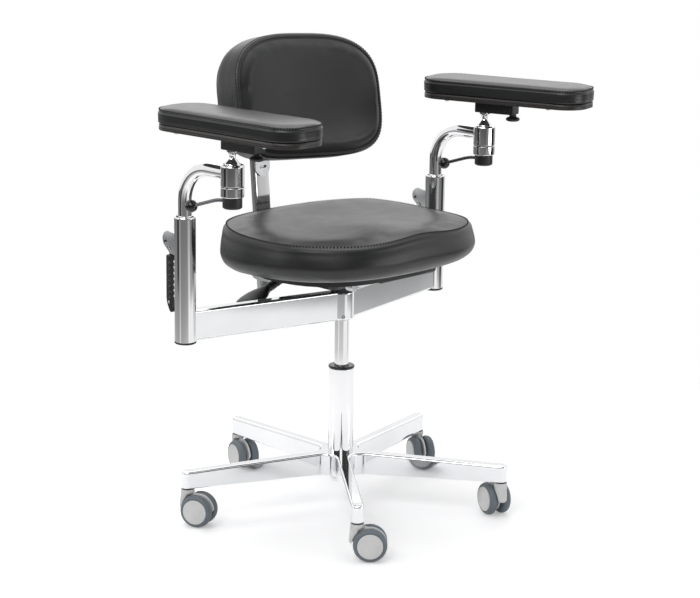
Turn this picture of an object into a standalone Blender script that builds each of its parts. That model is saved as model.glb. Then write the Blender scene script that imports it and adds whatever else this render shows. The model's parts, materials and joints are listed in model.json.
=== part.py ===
# A microscope chair: star base on twin-wheel casters, gas column, cast yoke with two ball-jointed armrests,
# saddle seat and a backrest on a leaning bar. Metres, +Z up, the sitter faces -Y and has +X on the left.

import math

import bmesh
import bpy
from mathutils import Matrix, Vector

# Clearances between pieces that touch, and around pieces that turn or slide
FIT = 0.0003
RUN = 0.0006
MERGE = 0.00001

# Facets of turned pieces
FINE_STEPS = 22
WHEEL_STEPS = 18
SMALL_STEPS = 12
TIP_ARC = 8
FILLET_ARC = 4

# Casters
CASTER_HEIGHT = 0.0722
CASTER_TRAIL = 0.024
CASTER_TURNS = (315, 70, 243, 255, 295)
WHEEL_RADIUS = 0.0325
WHEEL_WIDTH = 0.017
WHEEL_SHOULDER = 0.004
DISC_RADIUS = 0.0215
DISC_PROUD = 0.0008
AXLE_RADIUS = 0.004
AXLE_SEAT = 0.011
HOOD_RADIUS = 0.0235
HOOD_WIDTH = 0.013
COLLAR_RADIUS = 0.0122
COLLAR_HEIGHT = 0.0085
STEM_RADIUS = 0.0055
STEM_LENGTH = 0.022

# Star base
ARM_REACH = 0.320
ARM_WIDTH = 0.0245
ARM_END_HEIGHT = 0.033
ARM_ROOT_RISE = 0.008
ARM_ROOT_DROP = 0.0125
ARM_FILLET = 0.028
ARM_EDGE = 0.004
ARM_FLAT = 0.016
STAR_TURN = 231.2

# Gas column
COLUMN_RADIUS = 0.025
COLUMN_WALL = 0.0025
COLUMN_LENGTH = 0.214
COLUMN_FLOOR = 0.005
BUSH_HEIGHT = 0.0165
BUSH_LIP = 0.0007
BUSH_SPIGOT = 0.035
LIFT_RADIUS = 0.014
LIFT_SHOWN = 0.085
LIFT_HIDDEN = 0.128
ROD_RADIUS = 0.005
ROD_TOP = 0.295
BEARING_RADIUS = 0.012
BEARING_HEIGHT = 0.008
CLIP_RADIUS = 0.0075
CLIP_HEIGHT = 0.016

# Yoke and posts
YOKE_HEIGHT = 0.058
YOKE_WIDTH = 0.024
YOKE_EDGE = 0.004
YOKE_HUB_RADIUS = 0.0225
POST_X = 0.337
POST_Y = 0.074
POST_RADIUS = 0.020
POST_WALL = 0.0032
POST_HEIGHT = 0.237
POST_RIM = 0.0025
CAP_HEIGHT = 0.004
CAP_LIP = 0.0006
CAP_PLUG = 0.010

# Squeeze lever on each post
PLATE_THICKNESS = 0.005
PLATE_BELOW_TOP = 0.054
PLATE_TIP = (0.0455, 0.0035, 0.0165)
PLATE_FOOT = (0.036, -0.0125, 0.0105)
PLATE_ROOT = 0.0137
PLATE_SLOT = (0.0400, -0.0130)
PLATE_SLOT_HALF = 0.002
PLATE_SLOT_RADIUS = 0.0015
PIVOT_BACK = 0.0535
PIVOT_RADIUS = 0.0018
PIVOT_HEAD = 0.0026
HANDLE_LENGTH = 0.110
HANDLE_WIDTH = 0.012
HANDLE_DEPTH = 0.0125
HANDLE_EDGE = 0.003
HANDLE_RIBS = 8
HANDLE_GROOVE = 0.0008
HANDLE_GAP = 0.0165
HANDLE_CLEAR = 0.0022
HANDLE_BEND = 0.030
HANDLE_TUCK = 0.013
HANDLE_NEARER = 0.003
TAB_THICKNESS = 0.003
TAB_HALF = 0.005
TAB_SUNK = 0.010

# Arm tube with its ball housing
TUBE_RADIUS = 0.0125
TUBE_RISE = 0.096
TUBE_BEND = 0.068
TUBE_SUNK = 0.168
GUIDE_LENGTH = 0.090
ARM_AHEAD = 0.131
ARM_RAISES = {"right": 0.0, "left": 0.0035}
HOUSING_RADIUS = 0.0213
HOUSING_HEIGHT = 0.0594
HOUSING_ABOVE = 0.0182
HOUSING_GROOVE = 0.0008
HOUSING_GROOVE_Z = 0.019
LIP_RADIUS = 0.0152
LIP_HEIGHT = 0.003
SPIGOT_RADIUS = 0.0085
SPIGOT_LENGTH = 0.018
BALL_RADIUS = 0.0155
BALL_BELOW_LIP = 0.0065
CUP_WALL = 0.0034

# Clamp lever under each housing
CLAMP_RADIUS = 0.018
CLAMP_HEIGHT = 0.021
CLAMP_ROD_RADIUS = 0.0034
CLAMP_ROD_FLAT = 0.036
CLAMP_ROD_REACH = 0.089
CLAMP_ROD_DROP = 0.018
CLAMP_ROD_ABOVE = 0.013
CLAMP_KNOB_RADIUS = 0.0115
CLAMP_TURN = 15

# Pads on their ball studs
STUD_NECK = 0.0058
STUD_NECK_Z = 0.0115
STUD_SHOULDER = 50
STUD_FLARE = 0.0105
STUD_HEIGHT = 0.0265
BLOCK_WIDTH = 0.030
BLOCK_FRONT = 0.068
BLOCK_BACK = 0.016
BLOCK_HEIGHT = 0.025
BLOCK_EDGE = 0.002
TONGUE_WIDTH = 0.012
TONGUE_HEIGHT = 0.004
KNOB_AHEAD = 0.0615
KNOB_RADIUS = 0.014
KNOB_HEIGHT = 0.008
KNOB_STEM_RADIUS = 0.007
KNOB_STEM = 0.005
KNOB_PIN_RADIUS = 0.0035
KNOB_PIN = 0.007
PAD_LENGTH = 0.350
PAD_WIDTH = 0.118
PAD_CORNER = 0.035
PAD_SIDE = 0.021
PAD_CROWN = 0.012
BOARD_HEIGHT = 0.013
BOARD_INSET = 0.004
SLOT_SPARE = 0.025
PAD_TURNS = {"right": 3.4, "left": 16.0}
PAD_AHEAD = {"right": 0.016, "left": 0.049}

# Seat
FOOT_RADIUS = 0.0225
FOOT_HEIGHT = 0.010
MECHANISM_HEIGHT = 0.0422
MECHANISM_WIDTH = 0.130
MECHANISM_FRONT = 0.040
MECHANISM_BACK = 0.130
MECHANISM_TAPER = 0.016
MECHANISM_CORNER = 0.012
LUG_WIDTH = 0.038
LUG_HEIGHT = 0.018
SEAT_HALF_WIDTH = 0.246
SEAT_HALF_DEPTH = 0.211
SEAT_POWER = 2.6
SEAT_BACK = -0.017
SEAT_TILT = 2.5
SEAT_BOARD = 0.0124
SEAT_BOARD_INSET = 0.070
SEAT_SIDE = 0.080
SEAT_CROWN = 0.016
SEAT_DRAWN = 0.010
SEAT_DIP = 0.008
SEAT_DIP_FROM = -0.12
SEAT_DIP_FRONT = 0.030
SEAT_RISE_BACK = 0.23
SEAT_RISE_MOST = 0.004
SEAT_RIDGE = 0.009
SEAT_RIDGE_WIDTH = 0.075
SEAT_POINTS = 40

# Levers under the seat
LEVER_RADIUS = 0.005
LEVER_HUB = 0.009
LEVER_LEFT = 0.030
LEVER_LENGTH = 0.225
LEVER_GRIP = 0.0075
LEVER_GRIP_LENGTH = 0.150
LEVER_DOWN = 0.022
LEVER_AHEAD = 0.015
LEVER_PIN = 0.004
PADDLE_NECK = 0.008
PADDLE_NECK_LENGTH = 0.040
PADDLE_RIBS = 4
PADDLE_LENGTH = 0.066
PADDLE_WIDTH = 0.054
PADDLE_THICKNESS = 0.012
PADDLE_DROOP = 20
PADDLE_BACK = 0.105
PADDLE_DOWN = 0.024
PADDLE_HUB = 0.0065
PADDLE_PIN = 0.003
PADDLE_POCKET = (0.014, 0.0095, 0.0105)

# Back bar and its hinge bracket
BAR_WIDTH = 0.040
BAR_DEPTH = 0.015
BAR_EDGE = 0.004
BAR_LEAN = 5.3
BAR_BELOW = 0.046
BAR_ABOVE = 0.405
HINGE_BACK = 0.2217
HINGE_ABOVE_YOKE = 0.0035
HINGE_BOLT = 0.005
HINGE_HEAD = 0.009
HINGE_HEAD_HEIGHT = 0.005
CHEEK_THICKNESS = 0.004
CHEEK_HEIGHT = 0.034

# Backrest
CARRIER_ALONG = 0.345
CARRIER_SLEEVE = 0.060
CARRIER_WALL = 0.004
CARRIER_TONGUE = 0.156
CARRIER_SLOT_WIDTH = 0.0055
CARRIER_SLOT_LENGTH = 0.020
EAR_REACH = 0.070
EAR_RADIUS = 0.011
EAR_PIN = 0.004
BACK_WIDTH = 0.392
BACK_HEIGHT = 0.240
BACK_POWER = 3.2
BACK_LOW_POWER = 5.0
BACK_DROP = 0.004
BACK_WRAP = 0.016
BACK_POINTS = 36
BACK_SIDE = 0.046
BACK_CROWN = 0.010
BACK_BOARD = 0.010
BACK_BOARD_INSET = 0.012
BACK_LEAN = 13.0
BACK_AHEAD = 0.037

# Heights that follow from the pieces below
AXLE_Z = WHEEL_RADIUS * math.cos(math.pi / WHEEL_STEPS)
BOSS_Z = CASTER_HEIGHT + FIT
ARM_END_TOP = BOSS_Z + ARM_END_HEIGHT
HUB_TOP = ARM_END_TOP + ARM_ROOT_RISE
HUB_BOTTOM = BOSS_Z - ARM_ROOT_DROP
COLUMN_BOTTOM = HUB_BOTTOM + 0.0025
COLUMN_TOP = COLUMN_BOTTOM + COLUMN_LENGTH
BUSH_TOP = COLUMN_TOP + FIT + BUSH_HEIGHT
YOKE_BOTTOM = BUSH_TOP + LIFT_SHOWN
YOKE_TOP = YOKE_BOTTOM + YOKE_HEIGHT
POST_BOTTOM = YOKE_BOTTOM - 0.001
POST_TOP = POST_BOTTOM + POST_HEIGHT
TUBE_Z = POST_TOP + TUBE_RISE
HOUSING_TOP = TUBE_Z + HOUSING_ABOVE
HOUSING_BOTTOM = HOUSING_TOP - HOUSING_HEIGHT
BALL_Z = HOUSING_TOP - BALL_BELOW_LIP
BLOCK_BOTTOM = HOUSING_TOP + STUD_HEIGHT
BLOCK_TOP = BLOCK_BOTTOM + BLOCK_HEIGHT
PAD_BOARD_Z = BLOCK_TOP + FIT
PAD_Z = PAD_BOARD_Z + BOARD_HEIGHT + FIT
MECHANISM_TOP = YOKE_TOP + FIT + MECHANISM_HEIGHT
SEAT_BOARD_Z = MECHANISM_TOP + FIT
HINGE_Z = YOKE_TOP + HINGE_ABOVE_YOKE
PLATE_Z = POST_TOP - PLATE_BELOW_TOP

# Start from an empty scene
for old in list(bpy.data.objects):
    bpy.data.objects.remove(old, do_unlink=True)

parts = bpy.data.collections.new("microscope_chair")
cutters = bpy.data.collections.new("cutters")
bpy.context.scene.collection.children.link(parts)
bpy.context.scene.collection.children.link(cutters)
cutters.hide_render = True


def finish(name, colour, roughness, metallic):
    made = bpy.data.materials.new(name)
    made.use_nodes = True
    shader = made.node_tree.nodes["Principled BSDF"]
    shader.inputs["Base Color"].default_value = (*colour, 1.0)
    shader.inputs["Roughness"].default_value = roughness
    shader.inputs["Metallic"].default_value = metallic
    return made


CHROME = finish("chrome", (0.80, 0.80, 0.81), 0.06, 1.0)
POLISHED = finish("polished_aluminium", (0.83, 0.84, 0.85), 0.12, 1.0)
SATIN = finish("satin_steel", (0.55, 0.56, 0.57), 0.32, 1.0)
BLACK = finish("black_plastic", (0.015, 0.015, 0.016), 0.40, 0.0)
GLOSS = finish("black_gloss", (0.010, 0.010, 0.011), 0.12, 0.0)
HIDE = finish("charcoal_leatherette", (0.045, 0.047, 0.048), 0.42, 0.0)
TYRE = finish("grey_tyre", (0.16, 0.19, 0.21), 0.55, 0.0)
HOUSING_GREY = finish("light_grey_plastic", (0.56, 0.56, 0.55), 0.38, 0.0)
BOARD = finish("black_board", (0.020, 0.020, 0.021), 0.55, 0.0)


def new_object(name, mesh, material, parent=None, home=None):
    made = bpy.data.objects.new(name, mesh)
    made.data.materials.append(material)
    (home or parts).objects.link(made)
    made.parent = parent
    return made


def empty(name, parent, location=(0, 0, 0), rotation=(0, 0, 0)):
    made = bpy.data.objects.new(name, None)
    parts.objects.link(made)
    made.parent = parent
    made.location = location
    made.rotation_euler = rotation
    return made


def smooth(mesh, angle=40):
    mesh.shade_smooth()
    mesh.set_sharp_from_angle(angle=math.radians(angle))


def from_bmesh(name, bm, material, parent=None):
    mesh = bpy.data.meshes.new(name)
    bm.to_mesh(mesh)
    bm.free()
    smooth(mesh)
    return new_object(name, mesh, material, parent)


def turned(name, profile, material, parent=None, steps=FINE_STEPS, ring=False):
    # (radius, height) pairs down the outer side; a ring closes its loop up the bore
    mesh = bpy.data.meshes.new(name)
    edges = [(i, i + 1) for i in range(len(profile) - 1)]
    if ring:
        edges.append((len(profile) - 1, 0))
    mesh.from_pydata([(r, 0, z) for r, z in profile], edges, [])
    made = new_object(name, mesh, material, parent)
    screw = made.modifiers.new("Turn", "SCREW")
    screw.steps = steps
    screw.render_steps = steps
    screw.use_merge_vertices = True
    screw.merge_threshold = MERGE
    return made


def cylinder(name, radius, low, high, material, parent=None, steps=SMALL_STEPS):
    bm = bmesh.new()
    bmesh.ops.create_cone(
        bm, cap_ends=True, segments=steps, radius1=radius, radius2=radius, depth=high - low,
        matrix=Matrix.Translation((0, 0, (low + high) / 2)))
    return from_bmesh(name, bm, material, parent)


def box(name, low, high, material, parent=None, edge=0.0):
    bm = bmesh.new()
    low = Vector(low)
    high = Vector(high)
    size = Matrix.Diagonal((*(high - low), 1.0))
    bmesh.ops.create_cube(bm, size=1.0, matrix=Matrix.Translation((low + high) / 2) @ size)
    made = from_bmesh(name, bm, material, parent)
    if edge:
        bevel = made.modifiers.new("Edge", "BEVEL")
        bevel.width = edge
        bevel.segments = 2
    return made


def as_mesh(curve):
    # The curve's evaluated surface, its caps welded on
    bpy.context.view_layer.update()
    graph = bpy.context.evaluated_depsgraph_get()
    mesh = bpy.data.meshes.new_from_object(curve.evaluated_get(graph))
    bm = bmesh.new()
    bm.from_mesh(mesh)
    bmesh.ops.remove_doubles(bm, verts=bm.verts, dist=MERGE)
    bmesh.ops.recalc_face_normals(bm, faces=bm.faces)
    bm.to_mesh(mesh)
    bm.free()
    smooth(mesh)
    name = curve.name
    made = bpy.data.objects.new(name, mesh)
    curve.users_collection[0].objects.link(made)
    made.parent = curve.parent
    made.location = curve.location
    made.rotation_euler = curve.rotation_euler
    bpy.data.objects.remove(curve, do_unlink=True)
    made.name = name
    return made


def plate(name, outlines, thickness, material, parent=None, location=(0, 0, 0), rotation=(0, 0, 0)):
    # A flat outline, with any holes as further outlines, centred on its own plane
    curve = bpy.data.curves.new(name, "CURVE")
    curve.dimensions = "2D"
    curve.fill_mode = "BOTH"
    curve.extrude = thickness / 2
    for outline in outlines:
        spline = curve.splines.new("POLY")
        spline.points.add(len(outline) - 1)
        for point, (x, y) in zip(spline.points, outline):
            point.co = (x, y, 0, 1)
        spline.use_cyclic_u = True
    made = new_object(name, curve, material, parent)
    made.location = location
    made.rotation_euler = rotation
    return as_mesh(made)


def tube(name, points, radius, material, parent=None, sides=3):
    curve = bpy.data.curves.new(name, "CURVE")
    curve.dimensions = "3D"
    curve.bevel_depth = radius
    curve.bevel_resolution = sides
    curve.use_fill_caps = True
    spline = curve.splines.new("POLY")
    spline.points.add(len(points) - 1)
    for point, place in zip(spline.points, points):
        point.co = (*place, 1)
    return as_mesh(new_object(name, curve, material, parent))


def loft(name, rings, material, parent=None, caps=None):
    # Quads between rings of equal count, counter-clockwise from above, closed at both ends
    # by one face or by the faces whose point numbers caps gives
    bm = bmesh.new()
    rows = [[bm.verts.new(point) for point in ring] for ring in rings]
    count = len(rows[0])
    for lower, upper in zip(rows, rows[1:]):
        for i in range(count):
            j = (i + 1) % count
            bm.faces.new((lower[i], lower[j], upper[j], upper[i]))
    for cap in caps or [range(count)]:
        bm.faces.new([rows[0][i] for i in reversed(cap)])
        bm.faces.new([rows[-1][i] for i in cap])
    return from_bmesh(name, bm, material, parent)


def boolean(target, tool, operation):
    for home in list(tool.users_collection):
        home.objects.unlink(tool)
    cutters.objects.link(tool)
    tool.hide_render = True
    tool.display_type = "WIRE"
    change = target.modifiers.new(operation.title(), "BOOLEAN")
    change.operation = operation
    change.solver = "EXACT"
    change.object = tool


def cut(target, tool):
    boolean(target, tool, "DIFFERENCE")


def fuse(target, tool):
    boolean(target, tool, "UNION")


def arc(x, y, radius, start, end, count):
    # count + 1 points from one angle to the other, in degrees
    turn = [math.radians(start + (end - start) * i / count) for i in range(count + 1)]
    return [(x + radius * math.cos(a), y + radius * math.sin(a)) for a in turn]


def rounded(half_x, half_y, radius, inset=0.0, count=5):
    # A rounded rectangle, its corner arcs keeping their centres as it is inset
    radius = min(radius, half_x, half_y)
    corner = max(radius - inset, 0.0015)
    half_x -= inset + corner
    half_y -= inset + corner
    points = []
    for x, y, start in ((1, 1, 0), (-1, 1, 90), (-1, -1, 180), (1, -1, 270)):
        points += arc(x * half_x, y * half_y, corner, start, start + 90, count)
    return points


def at(height, outline):
    return [(x, y, height) for x, y in outline]


root = empty("chair", None)


def star_outline(inset):
    # Arms with half-round ends about the stems, joined by one concave arc between each two
    half = ARM_WIDTH / 2 - inset
    fillet = ARM_FILLET + inset
    step = 360 / len(CASTER_TURNS)
    away = (half + fillet) / math.sin(math.radians(step / 2))
    points = []
    for k in range(len(CASTER_TURNS)):
        along = STAR_TURN + k * step
        end = math.radians(along)
        flat = Vector((math.cos(end), math.sin(end))) * (ARM_REACH - ARM_FLAT)
        across = Vector((-math.sin(end), math.cos(end))) * half
        points.append(tuple(flat - across))
        points += arc(
            ARM_REACH * math.cos(end), ARM_REACH * math.sin(end), half, along - 90, along + 90, TIP_ARC)
        points.append(tuple(flat + across))
        between = math.radians(along + step / 2)
        points += arc(
            away * math.cos(between), away * math.sin(between), fillet, along - 90, along - 270 + step,
            FILLET_ARC)
    return points


def star_caps():
    # The flat end and the sloping face of each arm, and the hub between their fillets
    tip = TIP_ARC + 3
    block = tip + FILLET_ARC + 1
    count = block * len(CASTER_TURNS)
    caps = []
    hub = []
    for start in range(0, count, block):
        caps.append(list(range(start, start + tip)))
        caps.append([(start - 1) % count, start, start + tip - 1, start + tip])
        hub += range(start + tip, start + block)
    return caps + [hub]


def star_ring(inset, side, lift):
    # Heights run straight from the arm's root to the flat over its caster, on its top or its bottom side
    root_z, end_z = (HUB_TOP, ARM_END_TOP) if side == "top" else (HUB_BOTTOM, BOSS_Z)
    ring = []
    for x, y in star_outline(inset):
        share = min(1.0, math.hypot(x, y) / (ARM_REACH - ARM_FLAT))
        ring.append((x, y, root_z + (end_z - root_z) * share + lift))
    return ring


def stem_place(k):
    angle = math.radians(STAR_TURN + k * 360 / len(CASTER_TURNS))
    return ARM_REACH * math.cos(angle), ARM_REACH * math.sin(angle)


def make_base():
    soft = ARM_EDGE * (1 - math.sqrt(0.5))
    rings = [
        star_ring(ARM_EDGE / 2, "bottom", 0.0),
        star_ring(0.0, "bottom", ARM_EDGE / 2),
        star_ring(0.0, "top", -ARM_EDGE),
        star_ring(soft, "top", -soft),
        star_ring(ARM_EDGE, "top", 0.0),
    ]
    star = loft("star_base", rings, POLISHED, root, star_caps())
    bore = cylinder("hub_bore", COLUMN_RADIUS + FIT, 0.0, HUB_TOP * 2, BLACK, root, FINE_STEPS)
    cut(star, bore)
    for k in range(len(CASTER_TURNS)):
        socket = cylinder(
            f"stem_socket_{k + 1}", STEM_RADIUS + FIT, 0.0, CASTER_HEIGHT + STEM_LENGTH + RUN, BLACK, root)
        socket.location = (*stem_place(k), 0)
        cut(star, socket)


def make_column():
    inner = COLUMN_RADIUS - COLUMN_WALL
    floor = COLUMN_BOTTOM + COLUMN_FLOOR
    hole = ROD_RADIUS + RUN
    turned("column_tube", [
        (inner, COLUMN_TOP), (COLUMN_RADIUS, COLUMN_TOP), (COLUMN_RADIUS, COLUMN_BOTTOM),
        (hole, COLUMN_BOTTOM), (hole, floor), (inner, floor)], CHROME, root, ring=True)
    rim = COLUMN_RADIUS + BUSH_LIP
    seat = COLUMN_TOP + FIT
    bore = LIFT_RADIUS + FIT
    turned("guide_bush", [
        (bore, BUSH_TOP), (rim - 0.002, BUSH_TOP), (rim, BUSH_TOP - 0.002), (rim, seat),
        (inner - FIT, seat), (inner - FIT, seat - BUSH_SPIGOT), (bore, seat - BUSH_SPIGOT)],
        BLACK, root, ring=True)
    bearing = floor + FIT
    clip = COLUMN_BOTTOM - FIT
    turned("piston_rod", [
        (0, ROD_TOP), (ROD_RADIUS, ROD_TOP), (ROD_RADIUS, bearing + BEARING_HEIGHT),
        (BEARING_RADIUS, bearing + BEARING_HEIGHT), (BEARING_RADIUS, bearing), (ROD_RADIUS, bearing),
        (ROD_RADIUS, clip), (CLIP_RADIUS, clip), (CLIP_RADIUS, clip - CLIP_HEIGHT),
        (0, clip - CLIP_HEIGHT)], SATIN, root, steps=SMALL_STEPS)
    foot = BUSH_TOP - LIFT_HIDDEN
    top = YOKE_TOP - 0.004
    turned("lift_tube", [
        (0, top), (LIFT_RADIUS, top), (LIFT_RADIUS, foot), (ROD_RADIUS + RUN, foot),
        (ROD_RADIUS + RUN, top - 0.02), (0, top - 0.02)], CHROME, root)


def make_caster(k):
    number = k + 1
    swivel = empty(f"swivel_{number}", root, (*stem_place(k), 0), (0, 0, math.radians(CASTER_TURNS[k])))
    low = CASTER_HEIGHT - COLLAR_HEIGHT
    fork = turned(f"caster_{number}_fork", [
        (0, CASTER_HEIGHT + STEM_LENGTH), (STEM_RADIUS, CASTER_HEIGHT + STEM_LENGTH),
        (STEM_RADIUS, CASTER_HEIGHT), (COLLAR_RADIUS, CASTER_HEIGHT), (COLLAR_RADIUS, low), (0, low)],
        HOUSING_GREY, swivel, SMALL_STEPS)
    shoulder = COLLAR_RADIUS - 0.001
    outline = [(shoulder, low + 0.004), (-shoulder, low + 0.004)]
    outline += arc(CASTER_TRAIL, AXLE_Z, HOOD_RADIUS, 160, 370, 9)
    hood = plate(
        f"hood_{number}", [outline], HOOD_WIDTH, HOUSING_GREY, swivel, rotation=(math.pi / 2, 0, 0))
    fuse(fork, hood)
    half_axle = HOOD_WIDTH / 2 + FIT + AXLE_SEAT
    axle = cylinder(f"axle_{number}", AXLE_RADIUS, -half_axle, half_axle, SATIN, swivel, 10)
    axle.location = (CASTER_TRAIL, 0, AXLE_Z)
    axle.rotation_euler = (math.pi / 2, 0, 0)
    fuse(fork, axle)
    face = WHEEL_WIDTH
    rim = face - DISC_PROUD
    bore = AXLE_RADIUS + FIT
    profile = [
        (0, face), (DISC_RADIUS - 0.001, face), (DISC_RADIUS, rim), (WHEEL_RADIUS - WHEEL_SHOULDER, rim),
        (WHEEL_RADIUS, rim - WHEEL_SHOULDER), (WHEEL_RADIUS, 0), (bore, 0), (bore, AXLE_SEAT + RUN),
        (0, AXLE_SEAT + RUN)]
    flat = math.pi / WHEEL_STEPS + math.pi / 2
    for letter, side in (("a", -1), ("b", 1)):
        wheel = turned(
            f"caster_{number}_wheel_{letter}", profile, TYRE, swivel, WHEEL_STEPS)
        wheel.location = (CASTER_TRAIL, side * (HOOD_WIDTH / 2 + FIT), AXLE_Z)
        turn = Matrix.Rotation(-side * math.pi / 2, 4, "X") @ Matrix.Rotation(flat, 4, "Z")
        wheel.rotation_euler = turn.to_euler()


def yoke_outline(inset):
    # Two bars swept back to the posts, and a round nose on the front of the hub
    half = YOKE_WIDTH / 2 - inset
    nose = YOKE_HUB_RADIUS - inset
    sweep = math.atan2(POST_Y, POST_X)
    length = math.hypot(POST_X, POST_Y) - inset
    reach = math.degrees(math.asin(half / nose))
    side = math.degrees(sweep)

    def place(x, along, across):
        # along the right or left bar, across to its back
        return (
            x * (along * math.cos(sweep) - across * math.sin(sweep)),
            along * math.sin(sweep) + across * math.cos(sweep))

    points = arc(0, 0, nose, 180 - side + reach, 360 + side - reach, 10)
    points += [place(1, length, -half), place(1, length, half), (0, half / math.cos(sweep))]
    points += [place(-1, length, half), place(-1, length, -half)]
    return points


def make_yoke():
    soft = YOKE_EDGE * (1 - math.sqrt(0.5))
    rings = [
        at(YOKE_BOTTOM, yoke_outline(YOKE_EDGE)),
        at(YOKE_BOTTOM + soft, yoke_outline(soft)),
        at(YOKE_BOTTOM + YOKE_EDGE, yoke_outline(0.0)),
        at(YOKE_TOP - YOKE_EDGE, yoke_outline(0.0)),
        at(YOKE_TOP - soft, yoke_outline(soft)),
        at(YOKE_TOP, yoke_outline(YOKE_EDGE)),
    ]
    yoke = loft("yoke", rings, POLISHED, root)
    bore = cylinder("yoke_bore", LIFT_RADIUS + FIT, YOKE_BOTTOM / 2, YOKE_TOP * 2, BLACK, root, FINE_STEPS)
    cut(yoke, bore)
    for side in (-1, 1):
        seat = cylinder(
            f"post_seat_{side + 2}", POST_RADIUS + FIT, YOKE_BOTTOM / 2, YOKE_TOP * 2, BLACK, root,
            FINE_STEPS)
        seat.location = (side * POST_X, POST_Y, 0)
        cut(yoke, seat)


def make_post(name, side):
    axis = empty(f"{name}_post_axis", root, (side * POST_X, POST_Y, 0))
    inner = POST_RADIUS - POST_WALL
    turned(f"{name}_post", [
        (inner, POST_TOP - POST_RIM), (inner + POST_RIM / 2, POST_TOP),
        (POST_RADIUS - POST_RIM / 2, POST_TOP), (POST_RADIUS, POST_TOP - POST_RIM),
        (POST_RADIUS, POST_BOTTOM), (inner, POST_BOTTOM)],
        CHROME, axis, ring=True)
    rim = POST_RADIUS + CAP_LIP
    seat = POST_BOTTOM - FIT
    turned(f"{name}_post_cap", [
        (0, seat + CAP_PLUG), (inner - FIT, seat + CAP_PLUG), (inner - FIT, seat), (rim, seat),
        (rim, seat - CAP_HEIGHT + 0.001), (rim - 0.001, seat - CAP_HEIGHT), (0, seat - CAP_HEIGHT)],
        BLACK, axis, steps=FINE_STEPS)

    # Egg-shaped plate behind the post: a wide tip and a narrow foot joined by their common tangent
    away = (PLATE_TIP[0] - PLATE_FOOT[0], PLATE_TIP[1] - PLATE_FOOT[1])
    turn = math.atan2(away[1], away[0]) - math.acos((PLATE_FOOT[2] - PLATE_TIP[2]) / math.hypot(*away))
    turn = math.degrees(turn)
    low = PLATE_FOOT[1] - PLATE_FOOT[2]
    outline = arc(*PLATE_FOOT, -90, turn, 3) + arc(*PLATE_TIP, turn, 90, 9) + [(0, PLATE_ROOT), (0, low)]
    hole = arc(PIVOT_BACK, 0, PIVOT_RADIUS + FIT, 0, 330, 11)
    slot = []
    for end in (-1, 1):
        reach = end * PLATE_SLOT_HALF
        slot += arc(
            PLATE_SLOT[0] + reach, PLATE_SLOT[1] + reach, PLATE_SLOT_RADIUS, 45 - 90 * (end + 2),
            45 - 90 * end, 4)
    upright = Matrix(((0, 0, 1), (1, 0, 0), (0, 1, 0))).to_euler()
    ear = plate(
        f"{name}_lever_plate", [outline, hole, slot], PLATE_THICKNESS, SATIN, axis, (0, 0, PLATE_Z), upright)
    seat_cut = cylinder(
        f"{name}_plate_seat", POST_RADIUS + FIT, PLATE_Z - 0.1, PLATE_Z + 0.1, BLACK, axis, FINE_STEPS)
    cut(ear, seat_cut)

    # Ribbed squeeze handle below the plate, its foot bent in toward the post, on a tab beside the plate
    pivot = empty(f"{name}_squeeze_axis", axis, (0, PIVOT_BACK, PLATE_Z))
    top = low - HANDLE_CLEAR
    front = POST_RADIUS + HANDLE_GAP - PIVOT_BACK
    rings = []
    pitch = HANDLE_LENGTH / (HANDLE_RIBS + 2)
    for i in range(HANDLE_RIBS + 3):
        for inset, lift in ((0.0, 0.18), (0.0, 0.62), (HANDLE_GROOVE, 0.82)):
            if i == HANDLE_RIBS + 2 and lift > 0.2:
                continue
            up = (i + lift * (i < HANDLE_RIBS + 2)) * pitch
            bend = max(0.0, 1 - up / HANDLE_BEND) ** 2
            near = front - HANDLE_NEARER * bend
            far = front + HANDLE_DEPTH - HANDLE_TUCK * bend
            half = (far - near) / 2
            outline = rounded(HANDLE_WIDTH / 2, half, min(HANDLE_EDGE, 0.8 * half), inset * (bend == 0), 1)
            rings.append([(x, y + near + half, top - HANDLE_LENGTH + up) for x, y in outline])
    lever = loft(f"{name}_squeeze_lever", rings, BLACK, pivot)
    tab_x = PLATE_THICKNESS / 2 + FIT
    back = front + HANDLE_DEPTH - 0.001
    tab = plate(f"{name}_tab", [[
        (front + 0.001, top - TAB_SUNK), (back, top - TAB_SUNK), (back, top), (TAB_HALF, -TAB_HALF),
        (TAB_HALF, TAB_HALF), (-TAB_HALF, TAB_HALF), (front + 0.001, top + TAB_HALF)]],
        TAB_THICKNESS, BLACK, pivot, (tab_x + TAB_THICKNESS / 2, 0, 0), upright)
    fuse(lever, tab)
    pin = turned(f"{name}_pivot_pin", [
        (0, tab_x + 0.0015), (PIVOT_HEAD - 0.0005, tab_x + 0.0015), (PIVOT_HEAD, tab_x + 0.001),
        (PIVOT_HEAD, tab_x), (PIVOT_RADIUS - FIT, tab_x), (PIVOT_RADIUS - FIT, -tab_x - 0.002),
        (0, -tab_x - 0.002)], BLACK, pivot, 10)
    pin.rotation_euler = (0, -math.pi / 2, 0)
    fuse(lever, pin)
    return axis


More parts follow.
